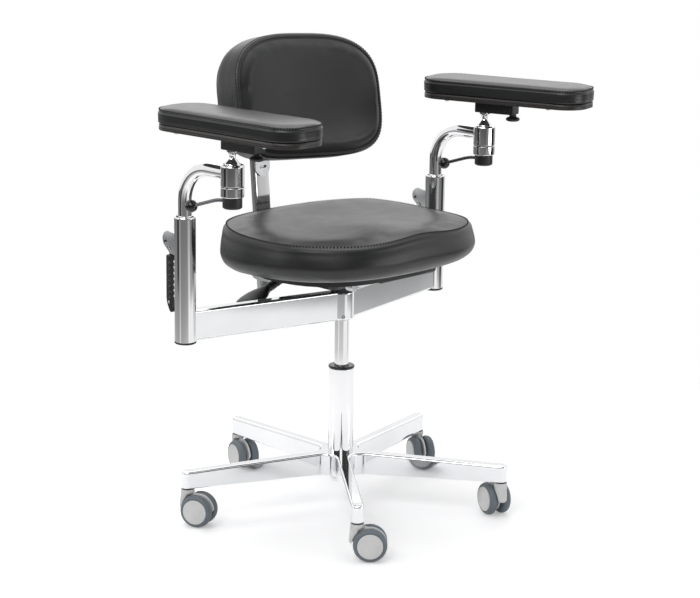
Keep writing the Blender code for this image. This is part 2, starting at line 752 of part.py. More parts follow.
def make_arm(name, post):
    # Sleeve in the post, and the bent tube that turns in it and carries the ball housing
    axis = empty(f"{name}_arm_axis", post, (0, 0, ARM_RAISES[name]))
    inner = POST_RADIUS - POST_WALL - FIT
    foot = TUBE_Z - TUBE_BEND - TUBE_SUNK - (TUBE_RISE - TUBE_BEND)
    turned(f"{name}_arm_guide", [
        (TUBE_RADIUS + FIT, foot + GUIDE_LENGTH), (inner, foot + GUIDE_LENGTH), (inner, foot),
        (TUBE_RADIUS + FIT, foot)], BLACK, axis, ring=True)
    points = [(0, 0, foot), (0, 0, POST_TOP)]
    points += [
        (0, y, z) for y, z in arc(-TUBE_BEND, TUBE_Z - TUBE_BEND, TUBE_BEND, 0, 90, 8)]
    points.append((0, -ARM_AHEAD + HOUSING_RADIUS * 0.6, TUBE_Z))
    arm = tube(f"{name}_arm_tube", points, TUBE_RADIUS, CHROME, axis, 4)

    floor = BALL_Z - BALL_RADIUS - RUN
    cavity = BALL_RADIUS + CUP_WALL + FIT
    groove = HOUSING_BOTTOM + HOUSING_GROOVE_Z
    housing = turned(f"{name}_housing", [
        (0, HOUSING_TOP), (HOUSING_RADIUS - 0.0015, HOUSING_TOP),
        (HOUSING_RADIUS, HOUSING_TOP - 0.0015), (HOUSING_RADIUS, groove + HOUSING_GROOVE),
        (HOUSING_RADIUS - HOUSING_GROOVE, groove), (HOUSING_RADIUS, groove - HOUSING_GROOVE),
        (HOUSING_RADIUS, HOUSING_BOTTOM), (SPIGOT_RADIUS, HOUSING_BOTTOM),
        (SPIGOT_RADIUS, HOUSING_BOTTOM - SPIGOT_LENGTH), (0, HOUSING_BOTTOM - SPIGOT_LENGTH)],
        CHROME, axis)
    housing.location = (0, -ARM_AHEAD, 0)
    fuse(arm, housing)
    hollow = turned(f"{name}_ball_hollow", [
        (0, HOUSING_TOP + 0.01), (LIP_RADIUS, HOUSING_TOP + 0.01), (LIP_RADIUS, HOUSING_TOP - LIP_HEIGHT),
        (cavity, HOUSING_TOP - LIP_HEIGHT), (cavity, floor), (0, floor)], BLACK, axis)
    hollow.location = (0, -ARM_AHEAD, 0)
    cut(arm, hollow)
    return empty(f"{name}_stud_axis", axis, (0, -ARM_AHEAD, 0))


def make_clamp(name, stud):
    # Black collar on the housing's spigot, with a bent rod and a ball knob
    clamp = empty(f"{name}_clamp_axis", stud, (0, 0, 0), (0, 0, math.radians(90 + CLAMP_TURN)))
    top = HOUSING_BOTTOM - FIT
    bore = SPIGOT_RADIUS + FIT
    bottom = top - CLAMP_HEIGHT
    collar = turned(f"{name}_clamp_collar", [
        (0, top - SPIGOT_LENGTH - RUN), (bore, top - SPIGOT_LENGTH - RUN), (bore, top), (CLAMP_RADIUS, top),
        (CLAMP_RADIUS, bottom + 0.002), (CLAMP_RADIUS - 0.002, bottom), (0, bottom)], BLACK, clamp)
    level = bottom + CLAMP_ROD_ABOVE
    knob_x = CLAMP_ROD_REACH
    knob_z = level - CLAMP_ROD_DROP
    lean = math.atan2(CLAMP_ROD_DROP, knob_x - CLAMP_ROD_FLAT)
    stop = CLAMP_KNOB_RADIUS + FIT
    points = [
        (bore + 0.004, 0, level), (CLAMP_ROD_FLAT - 0.006, 0, level),
        (CLAMP_ROD_FLAT, 0, level - 0.0008),
        (knob_x - stop * math.cos(lean), 0, knob_z + stop * math.sin(lean))]
    rod = tube(f"{name}_clamp_rod", points, CLAMP_ROD_RADIUS, SATIN, clamp, 2)
    fuse(collar, rod)
    bm = bmesh.new()
    bmesh.ops.create_uvsphere(bm, u_segments=12, v_segments=8, radius=CLAMP_KNOB_RADIUS)
    knob = from_bmesh(f"{name}_clamp_knob", bm, GLOSS, clamp)
    knob.location = (knob_x, 0, knob_z)
    knob.rotation_euler = (0, math.pi / 2 + lean, 0)


def make_ball(name, stud):
    # Turning cup round the ball, and the hourglass stud that tilts in it
    low = BALL_Z - BALL_RADIUS * 0.9
    high = HOUSING_TOP - LIP_HEIGHT - FIT
    bowl = BALL_RADIUS + RUN
    outer = BALL_RADIUS + CUP_WALL
    start = math.degrees(math.asin((low - BALL_Z) / bowl))
    end = math.degrees(math.asin((high - BALL_Z) / bowl))
    turned(f"{name}_ball_cup", [(outer, high), (outer, low)] + arc(0, BALL_Z, bowl, start, end, 5),
           BLACK, stud, 16, ring=True)
    tilt = empty(f"{name}_ball_axis", stud, (0, 0, BALL_Z), (0, 0, math.radians(PAD_TURNS[name])))
    rise = BLOCK_BOTTOM - FIT - BALL_Z
    neck_z = BALL_BELOW_LIP + STUD_NECK_Z
    profile = [(0, rise), (STUD_FLARE, rise), (STUD_FLARE, rise - 0.002), (STUD_NECK, neck_z + 0.004),
               (STUD_NECK, neck_z)]
    profile += arc(0, 0, BALL_RADIUS, STUD_SHOULDER, -90, 6)
    profile[-1] = (0, -BALL_RADIUS)
    turned(f"{name}_ball_stud", profile, CHROME, tilt, 16)
    return tilt


def make_pad(name, tilt):
    # Everything above the ball is placed from the ball's centre, facing the way the pad points
    up = -BALL_Z
    half = BLOCK_WIDTH / 2
    block = box(
        f"{name}_slide_block", (-half, -BLOCK_FRONT, BLOCK_BOTTOM + up), (half, BLOCK_BACK, BLOCK_TOP + up),
        BLACK, tilt, BLOCK_EDGE)
    tongue = box(
        f"{name}_tongue", (-TONGUE_WIDTH / 2, -BLOCK_FRONT + 0.004, BLOCK_TOP + up - 0.004),
        (TONGUE_WIDTH / 2, BLOCK_BACK - 0.004, BLOCK_TOP + up + TONGUE_HEIGHT), BLACK, tilt)
    fuse(block, tongue)
    hole = cylinder(
        f"{name}_knob_hole", KNOB_PIN_RADIUS + FIT, BLOCK_BOTTOM + up - 0.01,
        BLOCK_BOTTOM + up + KNOB_PIN + RUN, BLACK, tilt)
    hole.location = (0, -KNOB_AHEAD, 0)
    cut(block, hole)

    seat = BLOCK_BOTTOM + up - FIT
    head = seat - KNOB_STEM
    knob = turned(f"{name}_slide_knob", [
        (0, seat + KNOB_PIN), (KNOB_PIN_RADIUS, seat + KNOB_PIN), (KNOB_PIN_RADIUS, seat),
        (KNOB_STEM_RADIUS, seat), (KNOB_STEM_RADIUS, head), (KNOB_RADIUS - 0.003, head),
        (KNOB_RADIUS, head - 0.003), (KNOB_RADIUS, head - KNOB_HEIGHT + 0.002),
        (KNOB_RADIUS - 0.002, head - KNOB_HEIGHT), (0, head - KNOB_HEIGHT)], BLACK, tilt, SMALL_STEPS)
    knob.location = (0, -KNOB_AHEAD, 0)

    pad = empty(f"{name}_pad_place", tilt, (0, -PAD_AHEAD[name], 0))
    outline = rounded(
        PAD_WIDTH / 2 - BOARD_INSET, PAD_LENGTH / 2 - BOARD_INSET, PAD_CORNER - BOARD_INSET, 0, 6)
    board = plate(
        f"{name}_pad_board", [outline], BOARD_HEIGHT, BOARD, pad,
        (0, 0, PAD_BOARD_Z + up + BOARD_HEIGHT / 2))
    reach = PAD_LENGTH / 2 - SLOT_SPARE
    groove = box(
        f"{name}_groove", (-TONGUE_WIDTH / 2 - RUN, -reach, PAD_BOARD_Z + up - 0.01),
        (TONGUE_WIDTH / 2 + RUN, reach, PAD_BOARD_Z + up + TONGUE_HEIGHT + RUN), BLACK, pad)
    cut(board, groove)

    rings = []
    for inset, height in (
            (0.016, 0.0), (0.003, 0.0006), (0.0, 0.005), (0.0, PAD_SIDE - 0.004), (0.0022, PAD_SIDE)):
        rings.append((inset, height))
    reach = PAD_WIDTH / 2
    for share in (0.12, 0.28, 0.52, 0.76, 0.95):
        rings.append((share * reach, PAD_SIDE + PAD_CROWN * (1 - (1 - share) ** 2.4)))
    rings = [
        at(PAD_Z + up + height, rounded(PAD_WIDTH / 2, PAD_LENGTH / 2, PAD_CORNER, inset, 6))
        for inset, height in rings]
    loft(f"{name}_pad_cushion", rings, HIDE, pad)


def oval(half_x, half_y, power, count, scale=1.0):
    # A superellipse, squarer as its power grows
    points = []
    for i in range(count):
        turn = 2 * math.pi * i / count
        c, s = math.cos(turn), math.sin(turn)
        x = math.copysign(abs(c) ** (2 / power), c) * half_x
        y = math.copysign(abs(s) ** (2 / power), s) * half_y
        points.append((x * scale, y * scale))
    return points


def seat_outline(inset, scale=1.0):
    return oval(SEAT_HALF_WIDTH - inset, SEAT_HALF_DEPTH - inset, SEAT_POWER, SEAT_POINTS, scale)


def seat_wave(x, y):
    # The seam's height: low at the front corners, rising to the back and to a ridge between the thighs
    ahead = y - SEAT_DIP_FROM
    slope = SEAT_RISE_BACK * ahead ** 2 if ahead > 0 else SEAT_DIP_FRONT * ahead
    ridge = math.exp(-(x / SEAT_RIDGE_WIDTH) ** 2) * min(1.0, max(0.0, -y / SEAT_HALF_DEPTH))
    return min(SEAT_RISE_MOST, slope - SEAT_DIP) + SEAT_RIDGE * ridge


def seat_top(x, y):
    # A hollow for each thigh, joined to one behind the ridge
    side = math.exp(-((abs(x) - 0.40 * SEAT_HALF_WIDTH) / (0.28 * SEAT_HALF_WIDTH)) ** 2)
    rear = math.exp(-(x / (0.40 * SEAT_HALF_WIDTH)) ** 2 - ((y - 0.02) / (0.45 * SEAT_HALF_DEPTH)) ** 2)
    return -0.40 * max(side, rear)


def make_seat():
    base = YOKE_TOP + FIT
    half = MECHANISM_WIDTH / 2
    middle = (MECHANISM_BACK - MECHANISM_FRONT) / 2
    depth = (MECHANISM_BACK + MECHANISM_FRONT) / 2
    slope = math.tan(math.radians(SEAT_TILT))
    rings = []
    for inset, height, tilted in (
            (MECHANISM_TAPER, base + FOOT_HEIGHT - 0.001, 0.0),
            (MECHANISM_TAPER * 0.3, MECHANISM_TOP - 0.018, 0.5),
            (0.0, MECHANISM_TOP - 0.005, 1.0), (0.0, MECHANISM_TOP, 1.0)):
        ring = rounded(half, depth, MECHANISM_CORNER + MECHANISM_TAPER, inset, 3)
        rings.append([
            (x, y + middle, height + tilted * slope * (SEAT_BACK - y - middle)) for x, y in ring])
    mechanism = loft("seat_mechanism", rings, BLACK, root)
    fuse(mechanism, cylinder("foot", FOOT_RADIUS, base, base + FOOT_HEIGHT + 0.006, BLACK, root, FINE_STEPS))

    # Lug at the back that the hinge bracket bolts to
    low = base + FOOT_HEIGHT + 0.001
    fuse(mechanism, box(
        "back_lug", (-LUG_WIDTH / 2, MECHANISM_BACK / 2, low),
        (LUG_WIDTH / 2, MECHANISM_BACK, low + LUG_HEIGHT), BLACK, root))

    # Board and cushion, tilted a little so that the front is higher
    place = empty("seat_place", root, (0, SEAT_BACK, SEAT_BOARD_Z), (-math.radians(SEAT_TILT), 0, 0))
    plate("seat_board", [seat_outline(SEAT_BOARD_INSET)], SEAT_BOARD, BOARD, place, (0, 0, SEAT_BOARD / 2))
    under = SEAT_BOARD + FIT
    rings = []
    for inset, height in (
            (0.058, 0.0), (0.028, 0.002), (0.014, 0.0075), (0.005, 0.015), (0.0, 0.029), (0.0015, 0.047),
            (SEAT_DRAWN * 0.6, SEAT_SIDE - 0.012), (SEAT_DRAWN, SEAT_SIDE)):
        share = (height / SEAT_SIDE) ** 1.5
        rings.append([(x, y, under + height + share * seat_wave(x, y)) for x, y in seat_outline(inset)])
    for scale in (0.93, 0.82, 0.66, 0.46, 0.24, 0.06):
        rise = SEAT_CROWN * (1 - scale ** 3)
        rings.append([
            (x, y, under + SEAT_SIDE + seat_wave(x, y) + rise * (1 + seat_top(x, y)))
            for x, y in seat_outline(SEAT_DRAWN, scale)])
    loft("seat_cushion", rings, HIDE, place)
    return mechanism


def make_levers(mechanism):
    # Height lever across the front of the mechanism, lifted about a pin along Y
    level = MECHANISM_TOP - LEVER_DOWN
    lever_y = -MECHANISM_FRONT - LEVER_AHEAD
    pivot = empty("height_axis", root, (-LEVER_LEFT, 0, level))
    along_y = (-math.pi / 2, 0, 0)
    pin = cylinder("lever_pin", LEVER_PIN, lever_y - LEVER_HUB / 2, 0, SATIN, pivot)
    pin.rotation_euler = along_y
    fuse(mechanism, pin)
    bar = tube("height_lever", [
        (LEVER_HUB / 2, lever_y, 0), (LEVER_LENGTH - LEVER_GRIP_LENGTH, lever_y, 0.001),
        (LEVER_LENGTH, lever_y, 0.002)], LEVER_RADIUS, SATIN, pivot)
    hub = cylinder("lever_hub", LEVER_HUB, lever_y - LEVER_HUB, lever_y + LEVER_HUB, SATIN, pivot)
    hub.rotation_euler = along_y
    fuse(bar, hub)
    bore = cylinder("lever_bore", LEVER_PIN + FIT, lever_y - LEVER_HUB / 2 - RUN, 0, BLACK, pivot)
    bore.rotation_euler = along_y
    cut(bar, bore)
    grip = tube("lever_grip", [
        (LEVER_LENGTH - LEVER_GRIP_LENGTH, lever_y, 0.001), (LEVER_LENGTH + 0.005, lever_y, 0.002)],
        LEVER_GRIP, BLACK, pivot)
    fuse(bar, grip)

    # Tilt paddle on a pin across a pocket in the right side: a ribbed neck widens into a flat paddle
    deep, half_y, half_z = PADDLE_POCKET
    wall = MECHANISM_WIDTH / 2 - MECHANISM_TAPER * 0.6
    pivot = empty("paddle_axis", root, (-wall + PADDLE_HUB, PADDLE_BACK, MECHANISM_TOP - PADDLE_DOWN))
    pocket = box(
        "paddle_pocket", (-MECHANISM_TAPER * 2, -half_y, -half_z), (deep - PADDLE_HUB, half_y, half_z),
        BLACK, pivot)
    cut(mechanism, pocket)
    pin = cylinder("paddle_pin", PADDLE_PIN, -half_y - 0.003, half_y + 0.003, SATIN, pivot)
    pin.rotation_euler = along_y
    fuse(mechanism, pin)
    lean = Matrix.Rotation(math.radians(-90 - PADDLE_DROOP), 4, "Y")
    start = PADDLE_HUB + 0.009
    pitch = PADDLE_NECK_LENGTH / PADDLE_RIBS
    slim = PADDLE_NECK * 0.6
    sections = [(0.0, slim, slim), (start - 0.003, slim, slim)]
    for i in range(PADDLE_RIBS):
        sections.append((start + i * pitch, PADDLE_NECK, PADDLE_NECK))
        sections.append((start + (i + 0.6) * pitch, PADDLE_NECK, PADDLE_NECK))
        sections.append((start + (i + 0.8) * pitch, PADDLE_NECK * 0.78, PADDLE_NECK * 0.78))
    end = start + PADDLE_NECK_LENGTH
    for share, wide, thick in (
            (0.0, 0.36, 1.25), (0.3, 0.80, 1.2), (0.6, 1.0, 1.0), (0.9, 0.96, 0.8), (1.0, 0.86, 0.5)):
        sections.append((end + share * PADDLE_LENGTH, PADDLE_THICKNESS / 2 * thick, PADDLE_WIDTH / 2 * wide))
    rings = [
        [lean @ Vector((x * thick, y * wide, along)) for x, y in arc(0, 0, 1, 0, 330, 11)]
        for along, thick, wide in sections]
    paddle = loft("tilt_paddle", rings, BLACK, pivot)
    hub = cylinder("paddle_hub", PADDLE_HUB, -half_y + RUN, half_y - RUN, BLACK, pivot)
    hub.rotation_euler = along_y
    fuse(paddle, hub)
    bore = cylinder("paddle_bore", PADDLE_PIN + FIT, -half_y * 2, half_y * 2, BLACK, pivot)
    bore.rotation_euler = along_y
    cut(paddle, bore)


def make_back():
    # Cheeks behind the mechanism, a bar that hinges between them, and the backrest on its carrier
    near = MECHANISM_BACK + FIT
    inner = BAR_WIDTH / 2 + FIT
    outer = inner + CHEEK_THICKNESS
    far = HINGE_BACK + CHEEK_HEIGHT / 2
    channel = [(-outer, near), (outer, near), (outer, far), (inner, far), (inner, near + CHEEK_THICKNESS),
               (-inner, near + CHEEK_THICKNESS), (-inner, far), (-outer, far)]
    bracket = plate(
        "back_bracket", [channel], CHEEK_HEIGHT * 2, POLISHED, root, (0, 0, HINGE_Z))
    half = CHEEK_HEIGHT / 2
    profile = arc(HINGE_BACK, 0, half, -90, 90, 8)
    profile += [(near - 0.01, half), (near - 0.01, -half * 0.2), (near + 0.02, -half * 0.2)]
    profile += arc(HINGE_BACK - 0.03, -half * 0.2, half * 0.8, 180, 270, 5)
    upright = Matrix(((0, 0, 1), (1, 0, 0), (0, 1, 0))).to_euler()
    shape = plate(
        "bracket_side", [profile], outer * 4, POLISHED, root, (0, 0, HINGE_Z), upright)
    boolean(bracket, shape, "INTERSECT")
    end = outer + HINGE_HEAD_HEIGHT
    bolt = turned("hinge_bolt", [
        (0, end), (HINGE_HEAD, end), (HINGE_HEAD, outer - 0.001), (HINGE_BOLT, outer - 0.001),
        (HINGE_BOLT, -outer + 0.001), (HINGE_HEAD, -outer + 0.001), (HINGE_HEAD, -end), (0, -end)],
        SATIN, root, SMALL_STEPS)
    bolt.location = (0, HINGE_BACK, HINGE_Z)
    bolt.rotation_euler = (0, math.pi / 2, 0)
    fuse(bracket, bolt)

    lean = math.radians(BAR_LEAN)
    hinge = empty("recline_axis", root, (0, HINGE_BACK, HINGE_Z), (-lean, 0, 0))
    bar = box(
        "back_bar", (-BAR_WIDTH / 2, -BAR_DEPTH / 2, -BAR_BELOW), (BAR_WIDTH / 2, BAR_DEPTH / 2, BAR_ABOVE),
        CHROME, hinge, BAR_EDGE)
    hole = cylinder("bar_hole", HINGE_BOLT + FIT, -BAR_WIDTH, BAR_WIDTH, BLACK, hinge)
    hole.rotation_euler = (0, math.pi / 2, 0)
    cut(bar, hole)

    # Carrier: a sleeve round the bar, a tongue with a slot down its front, and two ears
    place = empty("carrier_place", hinge, (0, 0, CARRIER_ALONG))
    half_x = BAR_WIDTH / 2 + FIT
    half_y = BAR_DEPTH / 2 + FIT
    wall = CARRIER_WALL
    carrier = plate(
        "back_carrier",
        [rounded(half_x + wall, half_y + wall, BAR_EDGE + wall, 0, 4),
         rounded(half_x, half_y, BAR_EDGE, 0, 3)],
        CARRIER_SLEEVE, SATIN, place)
    tongue_half = BAR_WIDTH / 2 - 0.001
    tongue = [(tongue_half, 0.0), (-tongue_half, 0.0)]
    tongue += arc(0, -CARRIER_TONGUE + tongue_half, tongue_half, 180, 360, 10)
    slot_y = -CARRIER_TONGUE + tongue_half
    slot_x = (CARRIER_SLOT_LENGTH - CARRIER_SLOT_WIDTH) / 2
    slot = arc(slot_x, slot_y, CARRIER_SLOT_WIDTH / 2, -90, 90, 4)
    slot += arc(-slot_x, slot_y, CARRIER_SLOT_WIDTH / 2, 90, 270, 4)
    front = -half_y - wall / 2
    strip = plate(
        "carrier_tongue", [tongue, slot], wall * 0.8, SATIN, place, (0, front, 0), (math.pi / 2, 0, 0))
    fuse(carrier, strip)
    ear_low = half_x + wall * 0.1
    ear_wall = wall * 0.8
    for side in (-1, 1):
        profile = arc(-EAR_REACH, 0, EAR_RADIUS, 90, 270, 8)
        profile += [(0, -CARRIER_SLEEVE / 3), (0, CARRIER_SLEEVE / 3)]
        ear = plate(
            f"carrier_ear_{side + 2}", [profile], ear_wall, SATIN, place,
            (side * (ear_low + ear_wall / 2), 0, 0), upright)
        fuse(carrier, ear)
    pin_end = ear_low + ear_wall / 2
    pin = cylinder("ear_pin", EAR_PIN, -pin_end, pin_end, SATIN, place)
    pin.location = (0, -EAR_REACH, 0)
    pin.rotation_euler = (0, math.pi / 2, 0)
    fuse(carrier, pin)

    # Backrest on the ears' pin, upright local axes: Z out of its front, Y up its height
    face = math.radians(BAR_LEAN - BACK_LEAN)
    tilt = empty("tilt_axis", place, (0, -EAR_REACH, 0), (math.pi / 2 + face, 0, 0))
    half_x = BACK_WIDTH / 2
    half_y = BACK_HEIGHT / 2

    def back_outline(inset):
        # Its lower half is deeper, with squarer corners
        upper = oval(half_x - inset, half_y - inset, BACK_POWER, BACK_POINTS)
        lower = oval(half_x - inset, half_y + BACK_DROP - inset, BACK_LOW_POWER, BACK_POINTS)
        return [a if i <= BACK_POINTS / 2 else b for i, (a, b) in enumerate(zip(upper, lower))]

    front = BACK_AHEAD - FIT
    board = plate(
        "back_board", [back_outline(BACK_BOARD_INSET)], BACK_BOARD, BOARD, tilt,
        (0, 0, front - BACK_BOARD / 2))
    lug_half = ear_low - FIT
    profile = arc(0, 0, EAR_RADIUS, 180, 360, 8)
    profile += [(EAR_RADIUS, front - BACK_BOARD / 2), (-EAR_RADIUS, front - BACK_BOARD / 2)]
    lug = plate("tilt_lug", [profile], lug_half * 2, BOARD, tilt, (0, 0, 0), upright)
    fuse(board, lug)
    bore = cylinder("lug_bore", EAR_PIN + FIT, -lug_half * 2, lug_half * 2, BLACK, tilt)
    bore.rotation_euler = (0, math.pi / 2, 0)
    cut(board, bore)

    # Flat on the board, its front wrapped forward at the sides, with a welt groove inside the seam
    sections = [
        (0.022, 0.0, 0.0), (0.006, 0.0010, 0.0), (0.001, 0.008, 0.1), (0.0, 0.020, 0.4),
        (0.0015, BACK_SIDE - 0.006, 0.9), (0.006, BACK_SIDE, 1.0), (0.0105, BACK_SIDE - 0.0012, 1.0),
        (0.016, BACK_SIDE + 0.002, 1.0)]
    for share in (0.26, 0.45, 0.68, 0.92):
        crown = BACK_CROWN * (1 - (1 - share) ** 2.2)
        sections.append((share * half_y, BACK_SIDE + 0.002 + crown, 1.0))
    rings = []
    for inset, height, wrap in sections:
        rings.append([
            (x, y, BACK_AHEAD + height + wrap * BACK_WRAP * (x / half_x) ** 2)
            for x, y in back_outline(inset)])
    loft("back_cushion", rings, HIDE, tilt)


make_base()
make_column()
for caster in range(len(CASTER_TURNS)):
    make_caster(caster)
make_yoke()
make_levers(make_seat())
make_back()
for arm_name, arm_side in (("right", -1), ("left", 1)):
    post_axis = make_post(arm_name, arm_side)
    stud_axis = make_arm(arm_name, post_axis)
    make_clamp(arm_name, stud_axis)
    make_pad(arm_name, make_ball(arm_name, stud_axis))

# Stand the chair over the middle of its own box
bpy.context.view_layer.update()
graph = bpy.context.evaluated_depsgraph_get()
corners = []
for piece in parts.objects:
    if piece.type == "MESH":
        seen = piece.evaluated_get(graph)
        corners += [seen.matrix_world @ v.co for v in seen.data.vertices]
low = [min(c[i] for c in corners) for i in range(3)]
high = [max(c[i] for c in corners) for i in range(3)]
root.location = (-(low[0] + high[0]) / 2, -(low[1] + high[1]) / 2, -low[2])
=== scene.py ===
import json
import math

import bmesh
import bpy
import numpy as np
from mathutils import Matrix

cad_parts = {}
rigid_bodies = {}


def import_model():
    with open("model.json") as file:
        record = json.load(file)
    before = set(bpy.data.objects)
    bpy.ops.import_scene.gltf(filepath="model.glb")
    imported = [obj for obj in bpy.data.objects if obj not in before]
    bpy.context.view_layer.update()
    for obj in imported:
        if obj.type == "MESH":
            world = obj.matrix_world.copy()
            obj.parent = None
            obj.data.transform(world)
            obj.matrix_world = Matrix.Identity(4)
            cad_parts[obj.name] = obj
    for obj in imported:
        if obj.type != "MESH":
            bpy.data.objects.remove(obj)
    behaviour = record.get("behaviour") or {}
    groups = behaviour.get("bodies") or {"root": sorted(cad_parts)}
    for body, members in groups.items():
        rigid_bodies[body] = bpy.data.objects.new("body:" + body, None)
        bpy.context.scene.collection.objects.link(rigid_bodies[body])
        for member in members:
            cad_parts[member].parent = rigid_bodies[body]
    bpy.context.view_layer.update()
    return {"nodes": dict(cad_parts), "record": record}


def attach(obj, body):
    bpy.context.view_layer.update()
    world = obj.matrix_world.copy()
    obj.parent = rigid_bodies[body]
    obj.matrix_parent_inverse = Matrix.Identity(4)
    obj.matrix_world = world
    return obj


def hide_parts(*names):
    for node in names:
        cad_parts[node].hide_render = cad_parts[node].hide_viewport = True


for old in list(bpy.data.objects):
    bpy.data.objects.remove(old, do_unlink=True)

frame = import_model()
record = frame["record"]
swivel = next(j for j in record["behaviour"]["joints"] if j["name"] == "seat_swivel")
columnAxis = np.array(swivel["pos_m"]) * np.array([1.0, 1.0, 0.0])  # where the gas column meets the floor
sides = {"right": -1.0, "left": 1.0}
quarter = np.radians(np.linspace(0, 90, 7))  # a quarter turn in steps, for rounded edges
print("frame loaded:", len(frame["nodes"]), "nodes")


def addObject(name, data):
    # one object in the scene's own collection
    made = bpy.data.objects.new(name, data)
    bpy.context.scene.collection.objects.link(made)
    return made


def standAt(made, right, up, back, place):
    # three axes and a place, side by side in one matrix
    turn = np.eye(4)
    turn[:3] = np.stack([right, up, back, place], 1)
    made.matrix_world = Matrix(turn.tolist())


# camera of the photograph: place from the column, heading from +Y, focal length in pixels of a frame so wide
cameraSet = {"place": (-2.9114, -2.9426, 1.4003), "heading": 44.90, "pitch": 13.35, "roll": 0.78,
             "focal": 2189.44, "wide": 700, "sensor": 36.0, "clip": 60.0}


def makeCamera(s):
    # ahead follows heading and pitch; right and up are then turned about it by the roll
    h, p, r = (math.radians(s[k]) for k in ("heading", "pitch", "roll"))
    ahead = np.array([math.sin(h) * math.cos(p), math.cos(h) * math.cos(p), -math.sin(p)])
    flat = np.array([math.cos(h), -math.sin(h), 0.0])
    over = np.cross(flat, ahead)
    data = bpy.data.cameras.new("photoCamera")
    data.sensor_width = s["sensor"]
    data.lens = s["focal"] / s["wide"] * s["sensor"]
    data.clip_end = s["clip"]
    made = addObject("photoCamera", data)
    standAt(made, math.cos(r) * flat + math.sin(r) * over, -math.sin(r) * flat + math.cos(r) * over, -ahead,
            np.array(s["place"]) + columnAxis)
    bpy.context.scene.camera = made


makeCamera(cameraSet)


# materials: one principled shader each, with its grain on object coordinates
def feed(tree, node, sockets):
    # each named socket gets its value, or a link where another node's output is given
    for key, value in sockets.items():
        if isinstance(value, bpy.types.NodeSocket):
            tree.links.new(value, node.inputs[key])
        else:
            node.inputs[key].default_value = value


def addNode(tree, kind, sockets, operation=None):
    # one shader node, fed as above
    node = tree.nodes.new("ShaderNode" + kind)
    if operation:
        node.operation = operation
    feed(tree, node, sockets)
    return node


def newMaterial(name, colour, rough, metal=0.0, spec=0.5):
    # plain values on the shader, and the coordinates that its grain will read
    made = bpy.data.materials.new(name)
    made.use_nodes = True
    tree = made.node_tree
    shader = tree.nodes["Principled BSDF"]
    feed(tree, shader, {"Base Color": (*colour, 1.0), "Roughness": rough, "Metallic": metal,
                        "Specular IOR Level": spec})
    return made, tree, shader, addNode(tree, "TexCoord", {}).outputs["Object"]


def noiseNode(tree, coords, scale, detail=3.0, stretch=None):
    # noise at a scale, drawn out along an axis where a stretch is given
    if stretch:
        coords = addNode(tree, "Mapping", {"Vector": coords, "Scale": stretch}).outputs["Vector"]
    return addNode(tree, "TexNoise", {"Vector": coords, "Scale": scale, "Detail": detail}).outputs["Fac"]


def roughBetween(tree, shader, factor, low, high):
    # roughness runs from low to high as the factor runs from nothing to one
    span = addNode(tree, "MapRange", {"Value": factor, "To Min": low, "To Max": high})
    feed(tree, shader, {"Roughness": span.outputs["Result"]})


def colourBetween(tree, shader, factor, colour, shade):
    # from the shaded colour to the full one over the middle of the factor's range
    ramp = addNode(tree, "ValToRGB", {"Fac": factor})
    dark = tuple(c * shade for c in colour)
    for stop, place, tone in zip(ramp.color_ramp.elements, (0.3, 0.7), (dark, colour)):
        stop.position = place
        stop.color = (*tone, 1.0)
    feed(tree, shader, {"Base Color": ramp.outputs["Color"]})


def bumpOn(tree, shader, factor, strength, distance, before=None):
    # a bump on the shader, over an earlier one where its normal is given
    bump = addNode(tree, "Bump", {"Height": factor, "Strength": strength, "Distance": distance})
    if before:
        feed(tree, bump, {"Normal": before})
    feed(tree, shader, {"Normal": bump.outputs["Normal"]})
    return bump.outputs["Normal"]


def metalFinish(name, colour, low, high, streak, bump=0.0):
    # roughness wanders between low and high along faint polishing streaks
    made, tree, shader, coords = newMaterial(name, colour, low, 1.0)
    roughBetween(tree, shader, noiseNode(tree, coords, 60.0, 4.0, streak), low, high)
    colourBetween(tree, shader, noiseNode(tree, coords, 9.0, 2.0), colour, 0.94)
    if bump:
        bumpOn(tree, shader, noiseNode(tree, coords, 45.0, 2.0, streak), bump, 0.0004)
    return made


def plasticFinish(name, colour, low, high, grain, depth):
    # wandering roughness and colour, and a fine grain of a given depth
    made, tree, shader, coords = newMaterial(name, colour, low)
    roughBetween(tree, shader, noiseNode(tree, coords, 70.0), low, high)
    colourBetween(tree, shader, noiseNode(tree, coords, 25.0, 2.0), colour, 0.86)
    bumpOn(tree, shader, noiseNode(tree, coords, grain), 0.35, depth)
    return made


def leatheretteFinish(name, colour, low=0.31, high=0.43, relief=1.0):
    # fine pebble grain: cell distance at about 1.4 mm over a softer crease noise,
    # flatter where it is drawn taut
    made, tree, shader, coords = newMaterial(name, colour, 0.42)
    cells = addNode(tree, "TexVoronoi", {"Vector": coords, "Scale": 720.0})
    cells.feature = "SMOOTH_F1"
    crease = bumpOn(tree, shader, noiseNode(tree, coords, 260.0, 5.0), 0.15 * relief, 0.0004)
    bumpOn(tree, shader, cells.outputs["Distance"], 0.20 * relief, 0.00030, crease)
    roughBetween(tree, shader, noiseNode(tree, coords, 34.0, 4.0), low, high)
    colourBetween(tree, shader, noiseNode(tree, coords, 14.0), colour, 0.86)
    return made


